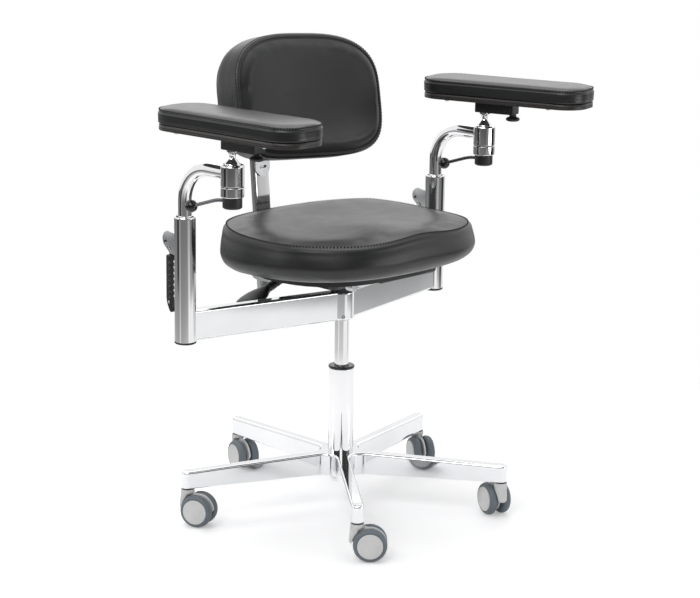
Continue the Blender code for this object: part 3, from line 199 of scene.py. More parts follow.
finishes = {
    "chrome": metalFinish("chrome", (0.86, 0.86, 0.87), 0.03, 0.08, (1.0, 1.0, 0.15)),
    "aluminium": metalFinish("polishedAluminium", (0.85, 0.86, 0.87), 0.03, 0.08, (1.0, 1.0, 1.0), 0.05),
    "satin": metalFinish("satinSteel", (0.62, 0.63, 0.64), 0.22, 0.36, (1.0, 1.0, 0.1), 0.06),
    "dark": metalFinish("darkSteel", (0.16, 0.16, 0.17), 0.22, 0.34, (1.0, 1.0, 0.2)),
    "black": plasticFinish("blackPlastic", (0.016, 0.016, 0.017), 0.34, 0.46, 900.0, 0.00025),
    "gloss": plasticFinish("blackGloss", (0.010, 0.010, 0.011), 0.08, 0.14, 300.0, 0.00003),
    "tyre": plasticFinish("greyTyre", (0.135, 0.160, 0.180), 0.46, 0.60, 500.0, 0.00020),
    "grey": plasticFinish("lightGreyPlastic", (0.66, 0.66, 0.655), 0.32, 0.42, 700.0, 0.00012),
    "board": plasticFinish("blackBoard", (0.020, 0.020, 0.021), 0.50, 0.62, 600.0, 0.00030),
    "ply": plasticFinish("darkStainedPly", (0.030, 0.026, 0.025), 0.30, 0.42, 400.0, 0.00030),
    "hide": leatheretteFinish("charcoalLeatherette", (0.0155, 0.0160, 0.0163)),
    "taut": leatheretteFinish("tautLeatherette", (0.0155, 0.0160, 0.0163), 0.27, 0.36, 0.6),
    "thread": plasticFinish("blackThread", (0.005, 0.005, 0.0055), 0.60, 0.75, 1500.0, 0.00030),
    "welt": leatheretteFinish("darkWelt", (0.010, 0.010, 0.0105)),
}
slotNames = {
    "chrome": "chrome", "aluminium": "polished_aluminium", "satin": "satin_steel", "dark": "satin_steel",
    "black": "black_plastic", "gloss": "black_gloss", "tyre": "grey_tyre", "grey": "light_grey_plastic",
    "board": "black_board", "ply": "black_board", "hide": "charcoal_leatherette",
    "taut": "charcoal_leatherette", "thread": "charcoal_leatherette", "welt": "charcoal_leatherette"}
# a node that stays as the solid made it gets the first finish of its slot
firstOfSlot = {slot: finish for finish, slot in reversed(slotNames.items())}
for part in record["subparts"]:
    node = frame["nodes"][part["node"]]
    node.data.materials.clear()
    node.data.materials.append(finishes[firstOfSlot[part["material_slot"]]])
print("materials:", len(finishes))


# surfaces: grids of points, rows along the form and columns round it
def gridFaces(rows, cols):
    # each face joins a point, the next one round and the two above them
    i, j = np.meshgrid(np.arange(rows - 1), np.arange(cols), indexing="ij")
    k = (j + 1) % cols
    return np.stack([i * cols + j, i * cols + k, (i + 1) * cols + k, (i + 1) * cols + j], -1).reshape(-1, 4)


def finishPiece(name, mesh, finish, sharp=35.0):
    # points merged, faces turned outward, smooth but for edges past the sharp angle
    work = bmesh.new()
    work.from_mesh(mesh)
    bmesh.ops.remove_doubles(work, verts=work.verts, dist=0.000002)
    bmesh.ops.dissolve_degenerate(work, edges=work.edges, dist=0.000002)
    bmesh.ops.recalc_face_normals(work, faces=work.faces)
    work.to_mesh(mesh)
    work.free()
    mesh.shade_smooth()
    mesh.set_sharp_from_angle(angle=math.radians(sharp))
    mesh.materials.append(finishes[finish])
    made = addObject(name, mesh)
    # long straight walls of polished metal keep straight reflections
    if finish in ("chrome", "aluminium"):
        made.modifiers.new("flatFaces", "WEIGHTED_NORMAL").keep_sharp = True
    return made


def buildPiece(name, grids, finish, sharp=35.0, caps=True):
    # grids: arrays rows x cols x 3, closed round the columns, with the first and last rows capped where asked
    points, faces, start = [], [], 0
    for grid in grids:
        rows, cols = grid.shape[:2]
        points.append(grid.reshape(-1, 3))
        faces += (gridFaces(rows, cols) + start).tolist()
        if caps:
            faces.append(list(range(start + cols - 1, start - 1, -1)))
            faces.append(list(range(start + (rows - 1) * cols, start + rows * cols)))
        start += rows * cols
    mesh = bpy.data.meshes.new(name)
    mesh.from_pydata(np.concatenate(points).tolist(), [], faces)
    return finishPiece(name, mesh, finish, sharp)


def settle(piece, body, node=None):
    # the piece moves with a body, and stands for a node of the frame where one is named
    if node:
        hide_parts(node)
    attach(piece, body)


def bendPoints(a, b, c, t):
    # quadratic curve from a to c, drawn toward b
    return (1 - t) ** 2 * a + 2 * t * (1 - t) * b + t ** 2 * c


def softCorners(points, radius, count=4, most=0.34):
    # every inner corner becomes a short quadratic curve, at most that share of its sides
    points = np.array(points, float)
    out = [points[:1]]
    t = np.linspace(0, 1, count + 1)[:, None]
    for a, b, c in zip(points, points[1:], points[2:]):
        start = b + (a - b) * min(radius / np.linalg.norm(a - b), most)
        end = b + (c - b) * min(radius / np.linalg.norm(c - b), most)
        out.append(bendPoints(start, b, end, t))
    out.append(points[-1:])
    return np.concatenate(out)


def turned(profile, place=(0, 0, 0), turn=None, cols=72, soft=0.0008):
    # radius and height pairs spun round the local Z, then turned and moved
    profile = softCorners(profile, soft) if soft else np.array(profile, float)
    a = np.arange(cols) / cols * 2 * np.pi
    r, z = profile[:, :1], profile[:, 1:]
    grid = np.stack([r * np.cos(a), r * np.sin(a), z + 0 * a], -1)
    if turn is not None:
        grid = grid @ np.array(turn).T
    return grid + np.array(place, float)


def spun(name, profile, place, finish, body, node=None, turn=None, cols=72, soft=0.0008, sharp=35.0):
    # one turned form as a piece of its own
    settle(buildPiece(name, [turned(profile, place, turn, cols, soft)], finish, sharp, False), body, node)


def swept(path, radii, cols=28):
    # a round section carried along a path; the section's frame turns as little as it can
    path = np.array(path, float)
    radii = np.broadcast_to(np.array(radii, float), (len(path),))
    along = np.gradient(path, axis=0)
    along /= np.linalg.norm(along, axis=1, keepdims=True)
    side = np.cross(along[0], [0.31, 0.52, 0.79])
    across = []
    for t in along:
        side = side - t * (side @ t)
        side = side / np.linalg.norm(side)
        across.append(side)
    u = np.array(across)
    v = np.cross(along, u)
    a = np.arange(cols) / cols * 2 * np.pi
    ring = u[:, None] * np.cos(a)[:, None] + v[:, None] * np.sin(a)[:, None]
    return path[:, None] + ring * radii[:, None, None]


def arcPoints(x, y, radius, start, end, count):
    # points on a circle between two angles in degrees
    a = np.radians(np.linspace(start, end, count + 1))
    return np.stack([x + radius * np.cos(a), y + radius * np.sin(a)], -1)


def roundedOutline(halfX, halfY, radius, inset=0.0, corner=10, straight=12):
    # a rounded rectangle, the same count on every ring: corner arcs and evenly cut straights
    r = max(min(radius, halfX, halfY) - inset, 0.001)
    x, y = halfX - inset - r, halfY - inset - r
    parts = [arcPoints(sx * x, sy * y, r, s, s + 90, corner)
             for sx, sy, s in ((1, 1, 0), (-1, 1, 90), (-1, -1, 180), (1, -1, 270))]
    t = np.linspace(0, 1, straight + 1)[1:-1, None]
    out = []
    for part, after in zip(parts, parts[1:] + parts[:1]):
        out += [part, part[-1] * (1 - t) + after[0] * t]
    return np.concatenate(out)


def ovalOutline(halfX, halfY, power, count):
    # superellipse: cosine and sine raised to two over the power, keeping their signs
    a = np.arange(count) / count * 2 * np.pi
    c, s = np.cos(a), np.sin(a)
    x = np.sign(c) * np.abs(c) ** (2 / power) * halfX
    y = np.sign(s) * np.abs(s) ** (2 / power) * halfY
    return np.stack([x, y], -1)


def level(outline, z):
    # a flat outline as a ring at one height, or at a height for each point
    return np.concatenate([outline, np.broadcast_to(z, len(outline))[:, None]], 1)


def edgeRows(low, top, steps):
    # rise and inset pairs at the lower edge, and the same upside down at the upper one
    return [(low + z, i) for z, i in steps] + [(top - z, i) for z, i in reversed(steps)]


def platePiece(name, outlines, thick, edge, turn, place, finish):
    # filled outlines with holes, as thick as asked, their edges rounded by the curve's own bevel
    curve = bpy.data.curves.new(name, "CURVE")
    curve.dimensions = "2D"
    curve.fill_mode = "BOTH"
    curve.extrude = thick / 2 - edge
    curve.bevel_depth = edge
    curve.bevel_resolution = 2
    curve.offset = -edge
    for outline in outlines:
        spline = curve.splines.new("POLY")
        spline.points.add(len(outline) - 1)
        full = np.concatenate([level(outline, 0.0), np.ones((len(outline), 1))], 1)
        spline.points.foreach_set("co", full.ravel())
        spline.use_cyclic_u = True
    made = addObject(name, curve)
    bpy.context.view_layer.update()
    mesh = bpy.data.meshes.new_from_object(made.evaluated_get(bpy.context.evaluated_depsgraph_get()))
    bpy.data.objects.remove(made, do_unlink=True)
    co = np.zeros(len(mesh.vertices) * 3)
    mesh.vertices.foreach_get("co", co)
    co = co.reshape(-1, 3) @ np.array(turn).T + np.array(place)
    mesh.vertices.foreach_set("co", co.ravel())
    mesh.materials.clear()
    return finishPiece(name, mesh, finish, 40.0)


def turnZ(degrees):
    # rotation about Z
    a = math.radians(degrees)
    return np.array([[math.cos(a), -math.sin(a), 0], [math.sin(a), math.cos(a), 0], [0, 0, 1.0]])


def turnX(degrees):
    # rotation about X
    a = math.radians(degrees)
    return np.array([[1.0, 0, 0], [0, math.cos(a), -math.sin(a)], [0, math.sin(a), math.cos(a)]])


upright = np.array([[0, 0, 1.0], [1.0, 0, 0], [0, 1.0, 0]])   # an outline stood up along Y and Z
alongX = np.array([[0, 0, 1.0], [0, 1.0, 0], [-1.0, 0, 0]])   # local Z laid along +X
alongY = np.array([[1.0, 0, 0], [0, 0, 1.0], [0, -1.0, 0]])   # local Z laid along +Y


# star base: the outline shrinks as it goes over the rounded top edge
starSet = {"reach": 0.320, "half": 0.01225, "fillet": 0.028, "edge": 0.0045, "lowEdge": 0.002, "flat": 0.304,
           "turn": 231.2, "hubTop": 0.1135, "endTop": 0.1065, "hubLow": 0.068, "endLow": 0.0725,
           "tip": 16, "arc": 12}


def starOutline(s, inset):
    # round each arm's tip from one side to the other, then the hollow fillet to the next arm
    half, fillet = s["half"] - inset, s["fillet"] + inset
    away = (half + fillet) / math.sin(math.radians(36))
    out = []
    for k in range(5):
        along = s["turn"] + 72 * k
        a, b = math.radians(along), math.radians(along + 36)
        flat = np.array([math.cos(a), math.sin(a)]) * s["flat"]
        across = np.array([-math.sin(a), math.cos(a)]) * half
        end = (s["reach"] * math.cos(a), s["reach"] * math.sin(a))
        out += [(flat - across)[None], arcPoints(*end, half, along - 90, along + 90, s["tip"]),
                (flat + across)[None],
                arcPoints(away * math.cos(b), away * math.sin(b), fillet, along - 90, along - 198, s["arc"])]
    return np.concatenate(out)


def starRing(s, inset, side, lift):
    # heights run straight from the hub to the flat over the caster, on the arm's top or low side
    o = starOutline(s, inset)
    share = np.minimum(1.0, np.hypot(*o.T) / s["flat"])
    root, end = s["hub" + side], s["end" + side]
    return level(o, root + (end - root) * share + lift)


def makeStar(s):
    # rings over the lower and the upper edge, and caps laid one by one because the top slopes
    low, e = s["lowEdge"], s["edge"]
    rings = [starRing(s, low * (1 - math.sin(t)), "Low", low * (1 - math.cos(t))) for t in quarter]
    rings += [starRing(s, e * (1 - math.cos(t)), "Top", e * (math.sin(t) - 1)) for t in quarter]
    grid = np.array(rings)
    rows, cols = grid.shape[:2]
    faces = gridFaces(rows, cols).tolist()
    tip = s["tip"] + 3
    block = tip + s["arc"] + 1
    # caps: the flat end and the sloping face of each arm, and the hub between their fillets
    caps, hub = [], []
    for start in range(0, cols, block):
        caps.append(list(range(start, start + tip)))
        caps.append([(start - 1) % cols, start, start + tip - 1, start + tip])
        hub += list(range(start + tip, start + block))
    for cap in caps + [hub]:
        faces.append(cap[::-1])
        faces.append([(rows - 1) * cols + i for i in cap])
    mesh = bpy.data.meshes.new("starBase")
    mesh.from_pydata((grid.reshape(-1, 3) + columnAxis).tolist(), [], faces)
    settle(finishPiece("starBase", mesh, "aluminium", 40.0), "base", "star_base")


makeStar(starSet)

# gas column: chrome outer tube with its foot, black guide bush, inner tube and the rod's end under the hub
columnSet = {"radius": 0.025, "wall": 0.0026, "top": 0.2812, "deep": 0.163, "foot": 0.0208, "footLow": 0.0490,
             "footTop": 0.0695, "bore": 0.0092, "bush": 0.0258, "bushTop": 0.2862, "inner": 0.014,
             "innerLow": 0.19, "innerTop": 0.4320, "clip": 0.0075, "clipLow": 0.0462,
             "clipTop": 0.0545, "rod": 0.005, "rodTop": 0.295}


def makeColumn(s):
    # four profiles round one axis
    r, f, low, join, bore, top = (s[k] for k in ("radius", "foot", "footLow", "footTop", "bore", "top"))
    wall, deep = r - s["wall"], top - s["deep"]
    spun("columnTube", [
        (bore, join), (bore, low), (f - 0.0070, low), (f - 0.0022, low + 0.0020), (f, low + 0.0065),
        (f, low + 0.0105), (f - 0.0016, low + 0.0112), (f - 0.0016, low + 0.0124),
        (f, low + 0.0131), (f, join), (r, join + 0.0002), (r, top), (wall, top), (wall, deep),
        (bore, deep), (bore, join)], columnAxis, "chrome", "base", "column_tube", cols=96)
    b, i, high = s["bush"], s["inner"] + 0.0003, s["bushTop"]
    spun("guideBush", [
        (i, top), (i, high - 0.0016), (b - 0.0045, high), (b - 0.0014, high), (b, high - 0.0014),
        (b, top + 0.0012), (b - 0.0010, top + 0.0003), (i, top + 0.0003)],
        columnAxis, "gloss", "base", "guide_bush", cols=96, soft=0.0006)
    i, low, high = s["inner"], s["innerLow"], s["innerTop"]
    spun("liftTube", [(0, low), (i, low), (i, high), (0, high)], columnAxis, "chrome", "seat", "lift_tube")
    c, low, neck, rod, high = (s[k] for k in ("clip", "clipLow", "clipTop", "rod", "rodTop"))
    spun("rodEnd", [
        (0, low), (c - 0.001, low), (c, low + 0.001), (c, neck), (rod, neck + 0.001), (rod, high), (0, high)],
        columnAxis, "satin", "rod", "piston_rod", cols=40)


makeColumn(columnSet)
print("star base and column done")

# twin-wheel casters: tyre and flat disc on each side of a hood with a tall neck
casterSet = {"turns": (315, 70, 243, 255, 295), "trail": 0.024, "axle": 0.032006, "tyre": 0.0320,
             "width": 0.017, "disc": 0.0240, "gap": 0.0065, "web": 0.0018, "fender": 0.0312,
             "hood": 0.0232, "boss": 0.012, "collar": 0.0133, "stem": 0.0055, "stemTop": 0.0922,
             "top": 0.0722, "collarTop": 0.0703, "collarLow": 0.0640, "neckLow": 0.0325,
             "neckEdge": 0.0045, "clear": 0.0337, "washer": 0.0112}


def neckRing(s, z, inset):
    # a rounded front, wide at the collar and narrower below; its back keeps clear of the tyres' round
    down = np.clip((s["collarLow"] - z) / (s["collarLow"] - s["neckLow"]), 0, 1)
    half = s["collar"] - 0.0050 * down - inset
    front = -s["collar"] - 0.0026 * down + 0.5 * inset
    back = s["trail"] - math.sqrt(max(s["clear"] ** 2 - (z - s["axle"]) ** 2, 0.0))
    middle = min(back, 0.0)
    a = np.arange(48) / 48 * 2 * np.pi
    c = np.cos(a)
    ahead = middle + (front - middle) * np.abs(c) ** (1 - 0.25 * down)
    x = np.where(c < 0, ahead, middle + min(back - middle, half) * c)
    return level(np.stack([x, half * np.sin(a)], -1), z)


def webOutline(s):
    # the plate between the wheels: fender over their backs, round below the axle, up to the neck
    return np.concatenate([
        [(-0.0110, 0.0660), (0.0120, 0.0660)], arcPoints(s["trail"], s["axle"], s["fender"], 98, 4, 30),
        arcPoints(s["trail"], s["axle"], s["hood"], -18, -172, 30), [(-0.0110, 0.0360)]])


def paintDisc(wheel, place, out, s):
    # faces within the disc's radius on the outer half get the second material
    centres = np.zeros(len(wheel.data.polygons) * 3)
    wheel.data.polygons.foreach_get("center", centres)
    off = centres.reshape(-1, 3) - place
    depth = off @ out
    radius = np.linalg.norm(off - depth[:, None] * out, axis=1)
    inner = (radius < s["disc"]) & (depth > s["width"] / 2)
    wheel.data.materials.append(finishes["grey"])
    wheel.data.polygons.foreach_set("material_index", inner.astype(np.int32))


def makeCaster(s, k):
    # stem at the arm's end; neck, web, collar and boss are one hood, and each wheel is one turned profile
    a = math.radians(starSet["turn"] + 72 * k)
    stem = columnAxis + np.array([starSet["reach"] * math.cos(a), starSet["reach"] * math.sin(a), 0])
    turn = turnZ(s["turns"][k])
    caster = f"caster_{k + 1}"
    low, top, r, thin = s["collarLow"], s["collarTop"], s["collar"], s["stem"]
    collar = turned([(0, low), (r, low), (r, top), (thin, top), (thin, s["stemTop"]), (0, s["stemTop"])],
                    stem, turn, 48)
    start, e = s["neckLow"], s["neckEdge"]
    rows = [(start + e * (1 - math.cos(t)), e * (1 - math.sin(t))) for t in quarter]
    rows += [(z, 0.0) for z in np.linspace(start + 0.006, low + 0.0004, 24)]
    neck = np.array([neckRing(s, z, i) for z, i in rows]) @ turn.T + stem
    outline = webOutline(s)
    middle = outline.mean(0)
    rings = []
    for y, shrink in edgeRows(-s["web"], s["web"], [(0, 0.97), (0.0007, 1.0)]):
        flat = middle + (outline - middle) * shrink
        rings.append(np.stack([flat[:, 0], np.full(len(flat), y), flat[:, 1]], -1))
    web = np.array(rings) @ turn.T + stem
    gap, b = s["gap"], s["boss"]
    axle = stem + turn @ np.array([s["trail"], 0, s["axle"]])
    boss = turned([(0, -gap), (b, -gap), (b, gap), (0, gap)], axle, turn @ turnX(-90.0), 40)
    settle(buildPiece(f"casterHood_{k + 1}", [neck, web, collar, boss], "grey", 40.0), caster,
           f"{caster}_fork")
    b, z = s["washer"], top - 0.0002
    spun(f"casterWasher_{k + 1}", [(0, z), (b, z), (b, s["top"]), (0, s["top"])], stem, "black", caster, None,
         turn, 40, 0.0003, 40.0)
    w, r, d = s["width"], s["tyre"], s["disc"]
    profile = [(0, 0.0), (0.0265, 0.0), (r - 0.0030, 0.0005), (r - 0.0004, 0.0036), (r, 0.0070),
               (r - 0.0004, w - 0.0070), (r - 0.0020, w - 0.0032), (r - 0.0048, w - 0.0012),
               (d + 0.0010, w - 0.0008), (d + 0.0004, w - 0.0018), (d, w - 0.0018), (d, w - 0.0006),
               (d - 0.0008, w), (0, w)]
    for letter, side in (("a", -1), ("b", 1)):
        place = stem + turn @ np.array([s["trail"], side * (gap + 0.0003), s["axle"]])
        form = turned(profile, place, turn @ turnX(-90.0 * side), 80, 0.0014)
        wheel = buildPiece(f"casterWheel_{k + 1}{letter}", [form], "tyre", 40.0, False)
        paintDisc(wheel, place, turn @ np.array([0, float(side), 0]), s)
        settle(wheel, f"{caster}_{letter}", f"{caster}_wheel_{letter}")


for k in range(5):
    makeCaster(casterSet, k)
print("casters done")

# yoke: two bars swept back to the posts with a round nose on the hub
yokeSet = {"low": 0.3783, "top": 0.4363, "half": 0.012, "edge": 0.005, "nose": 0.0225, "postX": 0.337,
           "postY": 0.074, "post": 0.0198, "screwTurn": 232, "screwUp": 0.009}


def yokeOutline(s, inset):
    # the nose's arc, then out along one bar to the hollow that fits its post, and the other bar mirrored
    half, nose = s["half"] - inset, s["nose"] - inset
    sweep = math.atan2(s["postY"], s["postX"])
    reach, lean = math.degrees(math.asin(half / nose)), math.degrees(sweep)
    across = np.linspace(-half, half, 9)
    along = math.hypot(s["postX"], s["postY"]) - np.sqrt(s["post"] ** 2 - across ** 2)
    end = np.stack([along * math.cos(sweep) - across * math.sin(sweep),
                    along * math.sin(sweep) + across * math.cos(sweep)], -1)
    return np.concatenate([
        arcPoints(0, 0, nose, 180 - lean + reach, 360 + lean - reach, 28), end,
        np.array([[0, half / math.cos(sweep)]]), end[::-1] * np.array([-1, 1])])


def makeYoke(s):
    # rings over the lower and the upper edge, and a set screw low on the right of the nose
    e = s["edge"]
    rings = [level(yokeOutline(s, e * (1 - math.sin(t))), s["low"] + e * (1 - math.cos(t))) for t in quarter]
    rings += [level(yokeOutline(s, e * (1 - math.cos(t))), s["top"] + e * (math.sin(t) - 1)) for t in quarter]
    settle(buildPiece("yoke", [np.array(rings) + columnAxis], "aluminium", 40.0), "seat", "yoke")
    b = math.radians(s["screwTurn"])
    out = np.array([math.cos(b), math.sin(b), 0])
    lay = np.stack([np.cross([0, 0, 1.0], out), [0, 0, 1.0], out], 1)
    spot = columnAxis + out * (s["nose"] - 0.0012) + np.array([0, 0, s["low"] + s["screwUp"]])
    spun("yokeSetScrew",
         [(0, 0), (0.0032, 0), (0.0032, 0.0016), (0.0016, 0.0016), (0.0014, 0.0004), (0, 0.0004)],
         spot, "dark", "seat", None, lay, 24, 0.0003)


makeYoke(yokeSet)

# posts, their caps, and the egg-shaped lever plates behind them
postSet = {"radius": 0.020, "inner": 0.0168, "low": 0.3773, "top": 0.6143, "cap": 0.0206}
plateSet = {"z": 0.5603, "tip": (0.0455, 0.0035, 0.0165), "foot": (0.036, -0.0125, 0.0105),
            "root": (0.019, 0.0163), "pivot": 0.0535, "hole": 0.0021, "slot": (0.040, -0.013),
            "half": 0.002, "round": 0.0015}


def postPlace(side):
    # foot of a post's axis on the floor
    return columnAxis + np.array([side * yokeSet["postX"], yokeSet["postY"], 0])


def makePost(name, side):
    # turned post and cap; the plate's wide tip and narrow foot are joined by their common tangent
    s, q, at = postSet, plateSet, postPlace(side)
    r, i, c, low, top = (s[k] for k in ("radius", "inner", "cap", "low", "top"))
    spun(f"{name}Post", [
        (i, low), (r, low), (r, top - 0.0022), (r - 0.0010, top - 0.0004), (r - 0.0020, top),
        (i + 0.0006, top - 0.0004), (i, top - 0.0016), (i, low)],
        at, "chrome", "seat", f"{name}_post", cols=96, soft=0.0007)
    spun(f"{name}PostCap", [
        (0, low - 0.0043), (c - 0.0022, low - 0.0043), (c, low - 0.0026), (c, low - 0.0003),
        (0, low - 0.0003)], at, "black", "seat", f"{name}_post_cap", cols=80)
    tip, foot = q["tip"], q["foot"]
    away = np.subtract(tip[:2], foot[:2])
    turn = math.degrees(math.atan2(away[1], away[0]) - math.acos((foot[2] - tip[2]) / np.hypot(*away)))
    egg = np.concatenate([arcPoints(*foot, -90, turn, 12), arcPoints(*tip, turn, 90, 36),
                          [q["root"], (q["root"][0], foot[1] - foot[2])]])
    y, z = q["slot"]
    slot = np.concatenate([arcPoints(y - q["half"], z - q["half"], q["round"], 135, 315, 10),
                           arcPoints(y + q["half"], z + q["half"], q["round"], -45, 135, 10)])
    hole = arcPoints(q["pivot"], 0, q["hole"], 0, 350, 35)
    spot = at + np.array([0, 0, q["z"]])
    plate = platePiece(f"{name}LeverPlate", [egg, hole, slot], 0.005, 0.0006, upright, spot, "satin")
    settle(plate, "seat", f"{name}_lever_plate")
    # a thin black fill inside the plate's slot: painted shade, so the open slot reads dark
    settle(platePiece(f"{name}PlateSlotShade", [slot], 0.0032, 0.0002, upright, spot, "black"), "seat")


# squeeze lever: a slim handle with a smooth spine and ribs toward the post, its foot bent in
squeezeSet = {"top": -0.0252, "length": 0.110, "pitch": 0.0110, "groove": 0.0016, "halfX": 0.006,
              "front": -0.017, "depth": 0.0125, "bend": 0.030, "tuck": 0.013, "nearer": 0.003, "edge": 0.003}


def makeSqueeze(name, side):
    # u counts ribs from the bottom; grooves are narrow dips between them, and both ends are rounded
    s, body = squeezeSet, f"{name}_squeeze"
    pivot = postPlace(side) + np.array([0, plateSet["pivot"], plateSet["z"]])
    u = np.concatenate([[0.18, 0.2, 0.26], np.linspace(0.35, 9.75, 150), [9.86, 9.96, 10.0]])
    bend = np.maximum(0, 1 - u * s["pitch"] / s["bend"]) ** 2
    near = s["front"] - s["nearer"] * bend
    far = s["front"] + s["depth"] - s["tuck"] * bend
    dip = s["groove"] * np.exp(-(((u % 1.0) - 0.82) / 0.20) ** 2) * (u > 2.6) * (u < 9.3)
    ends = 0.0016 * (np.exp(-((u - 0.18) / 0.09) ** 2) + np.exp(-((u - 10) / 0.09) ** 2))
    rings = []
    for k in range(len(u)):
        half = (far[k] - near[k]) / 2
        outline = roundedOutline(s["halfX"], half, min(s["edge"], 0.8 * half),
                                 min(ends[k], half - 0.0013), 6, 6)
        # how far forward of the spine a point is, from nothing to one
        ahead = np.clip((half * 0.35 - outline[:, 1]) / (half * 0.5), 0, 1)
        outline[:, 0] *= 1 - dip[k] / s["halfX"] * ahead
        outline[:, 1] += (near[k] + far[k]) / 2
        rings.append(level(outline, s["top"] - s["length"] + u[k] * s["pitch"]))
    handle = buildPiece(f"{name}SqueezeLever", [np.array(rings) + pivot], "black", 40.0)
    settle(handle, body, f"{name}_squeeze_lever")
    front, back, top = s["front"] + 0.001, s["front"] + s["depth"] - 0.001, s["top"]
    strip = np.array([(front, top - 0.010), (back, top - 0.010), (back, top), (0.005, -0.005), (0.005, 0.005),
                      (-0.005, 0.005), (front, top + 0.005)])
    spot = pivot + np.array([0.0043, 0, 0])
    settle(platePiece(f"{name}SqueezeTab", [strip], 0.003, 0.0004, upright, spot, "black"), body)
    spun(f"{name}SqueezePin", [
        (0, -0.0045), (0.0015, -0.0045), (0.0015, 0.0028), (0.0026, 0.0028), (0.0026, 0.0036),
        (0.0020, 0.0042), (0, 0.0043)], pivot, "black", body, None, -alongX, 32, 0.0003)
    # small screw low on the side
    spot = pivot + np.array([-0.0058, s["front"] + 0.0035, top - s["length"] + 0.0210])
    spun(f"{name}HandleScrew", [
        (0, 0), (0.0026, 0), (0.0026, 0.0008), (0.0018, 0.0014), (0.0009, 0.0014), (0.0007, 0.0008),
        (0, 0.0008)], spot, "satin", body, None, -alongX, 20, 0.0003)


# bent arm tubes with their ball housings
armSet = {"tube": 0.0125, "low": 0.447, "level": 0.7103, "bend": 0.068, "ahead": 0.131, "housing": 0.0213,
          "housingTop": 0.7285, "housingLow": 0.6691, "groove": 0.6881, "lip": 0.0152, "pin": 0.0085,
          "raise": {"right": 0.0, "left": 0.0035}}


def makeArm(name, side):
    # up from the post, a quarter bend, and forward into the housing, which is turned round the ball's axis
    s, body = armSet, f"{name}_arm"
    at = postPlace(side) + np.array([0, 0, s["raise"][name]])
    bend = arcPoints(-s["bend"], s["level"] - s["bend"], s["bend"], 0, 90, 26)
    path = np.concatenate([[[0, 0, s["low"]], [0, 0, s["low"] + 0.09], [0, 0, postSet["top"]]],
                           np.stack([0 * bend[:, 0], bend[:, 0], bend[:, 1]], -1),
                           [[0, -s["ahead"] + 0.030, s["level"]], [0, -s["ahead"] + 0.016, s["level"]]]])
    h, top, low, g, lip, pin = (s[k] for k in ("housing", "housingTop", "housingLow", "groove", "lip", "pin"))
    front = at + np.array([0, -s["ahead"], 0])
    housing = turned([
        (0, low - 0.018), (pin, low - 0.018), (pin, low), (h - 0.0012, low), (h, low + 0.0012),
        (h, g - 0.0012), (h - 0.0012, g - 0.0004), (h - 0.0012, g + 0.0004), (h, g + 0.0012),
        (h, top - 0.0035), (h - 0.0015, top - 0.0008), (h - 0.0040, top), (lip, top),
        (lip, top - 0.003), (lip + 0.003, top - 0.0035), (lip + 0.003, top - 0.024),
        (0, top - 0.026)], front, cols=96, soft=0.0006)
    arm = buildPiece(f"{name}Arm", [swept(path + at, s["tube"], 48), housing], "chrome", 40.0)
    settle(arm, body, f"{name}_arm_tube")
    # dark steel ring sunk in the housing's groove: painted shade along the groove
    spun(f"{name}HousingGrooveShade", [
        (h - 0.002, g - 0.0009), (h - 0.0006, g - 0.0007), (h - 0.0006, g + 0.0007), (h - 0.002, g + 0.0009)],
        front, "dark", body, cols=96, soft=0)
    return front


# clamp collar with a bent rod and a ball knob under each housing
clampSet = {"radius": 0.018, "top": 0.6688, "height": 0.021, "bore": 0.0088, "deep": 0.018, "turn": 105.0,
            "rod": 0.0034, "reach": 0.089, "flat": 0.032, "drop": 0.018, "above": 0.013, "knob": 0.0115}


def makeClamp(name, front):
    # the rod leaves the collar level, then drops straight to the knob
    s, body = clampSet, f"{name}_clamp"
    top, low, r, bore, deep = s["top"], s["top"] - s["height"], s["radius"], s["bore"], s["top"] - s["deep"]
    turn = turnZ(s["turn"])
    spun(f"{name}ClampCollar", [
        (0, low), (r - 0.003, low), (r, low + 0.0025), (r, top - 0.0012), (r - 0.0010, top), (bore, top),
        (bore, deep), (0, deep)], front, "black", body, f"{name}_clamp_collar", sharp=40.0)
    rise = low + s["above"]
    path = softCorners([(0.014, 0, rise), (s["flat"], 0, rise),
                        (s["reach"] - 0.002, 0, rise - s["drop"] + 0.0004)], 0.012, 12, 1.0)
    settle(buildPiece(f"{name}ClampRod", [swept(path @ turn.T + front, s["rod"], 24)], "dark", 40.0), body)
    ball = arcPoints(0, 0, s["knob"], -90, 90, 24)
    spot = front + turn @ np.array([s["reach"], 0, rise - s["drop"]])
    spun(f"{name}ClampKnob", ball, spot, "gloss", body, f"{name}_clamp_knob", None, 40, 0, 60.0)


# ball stud, slide block and slide knob under each pad
studSet = {"ball": 0.0155, "ballZ": 0.7220, "neck": 0.0056, "flare": 0.0105, "top": 0.7547, "neckZ": 0.7425}
blockSet = {"low": 0.7550, "top": 0.7800, "halfX": 0.015, "halfY": 0.042, "middle": -0.026, "tongue": 0.006}
knobSet = {"ahead": 0.0615, "radius": 0.014, "stem": 0.007, "top": 0.7547, "head": 0.7497, "low": 0.7417}
padTurns = {"right": 3.4, "left": 16.0}
padAhead = {"right": 0.016, "left": 0.049}


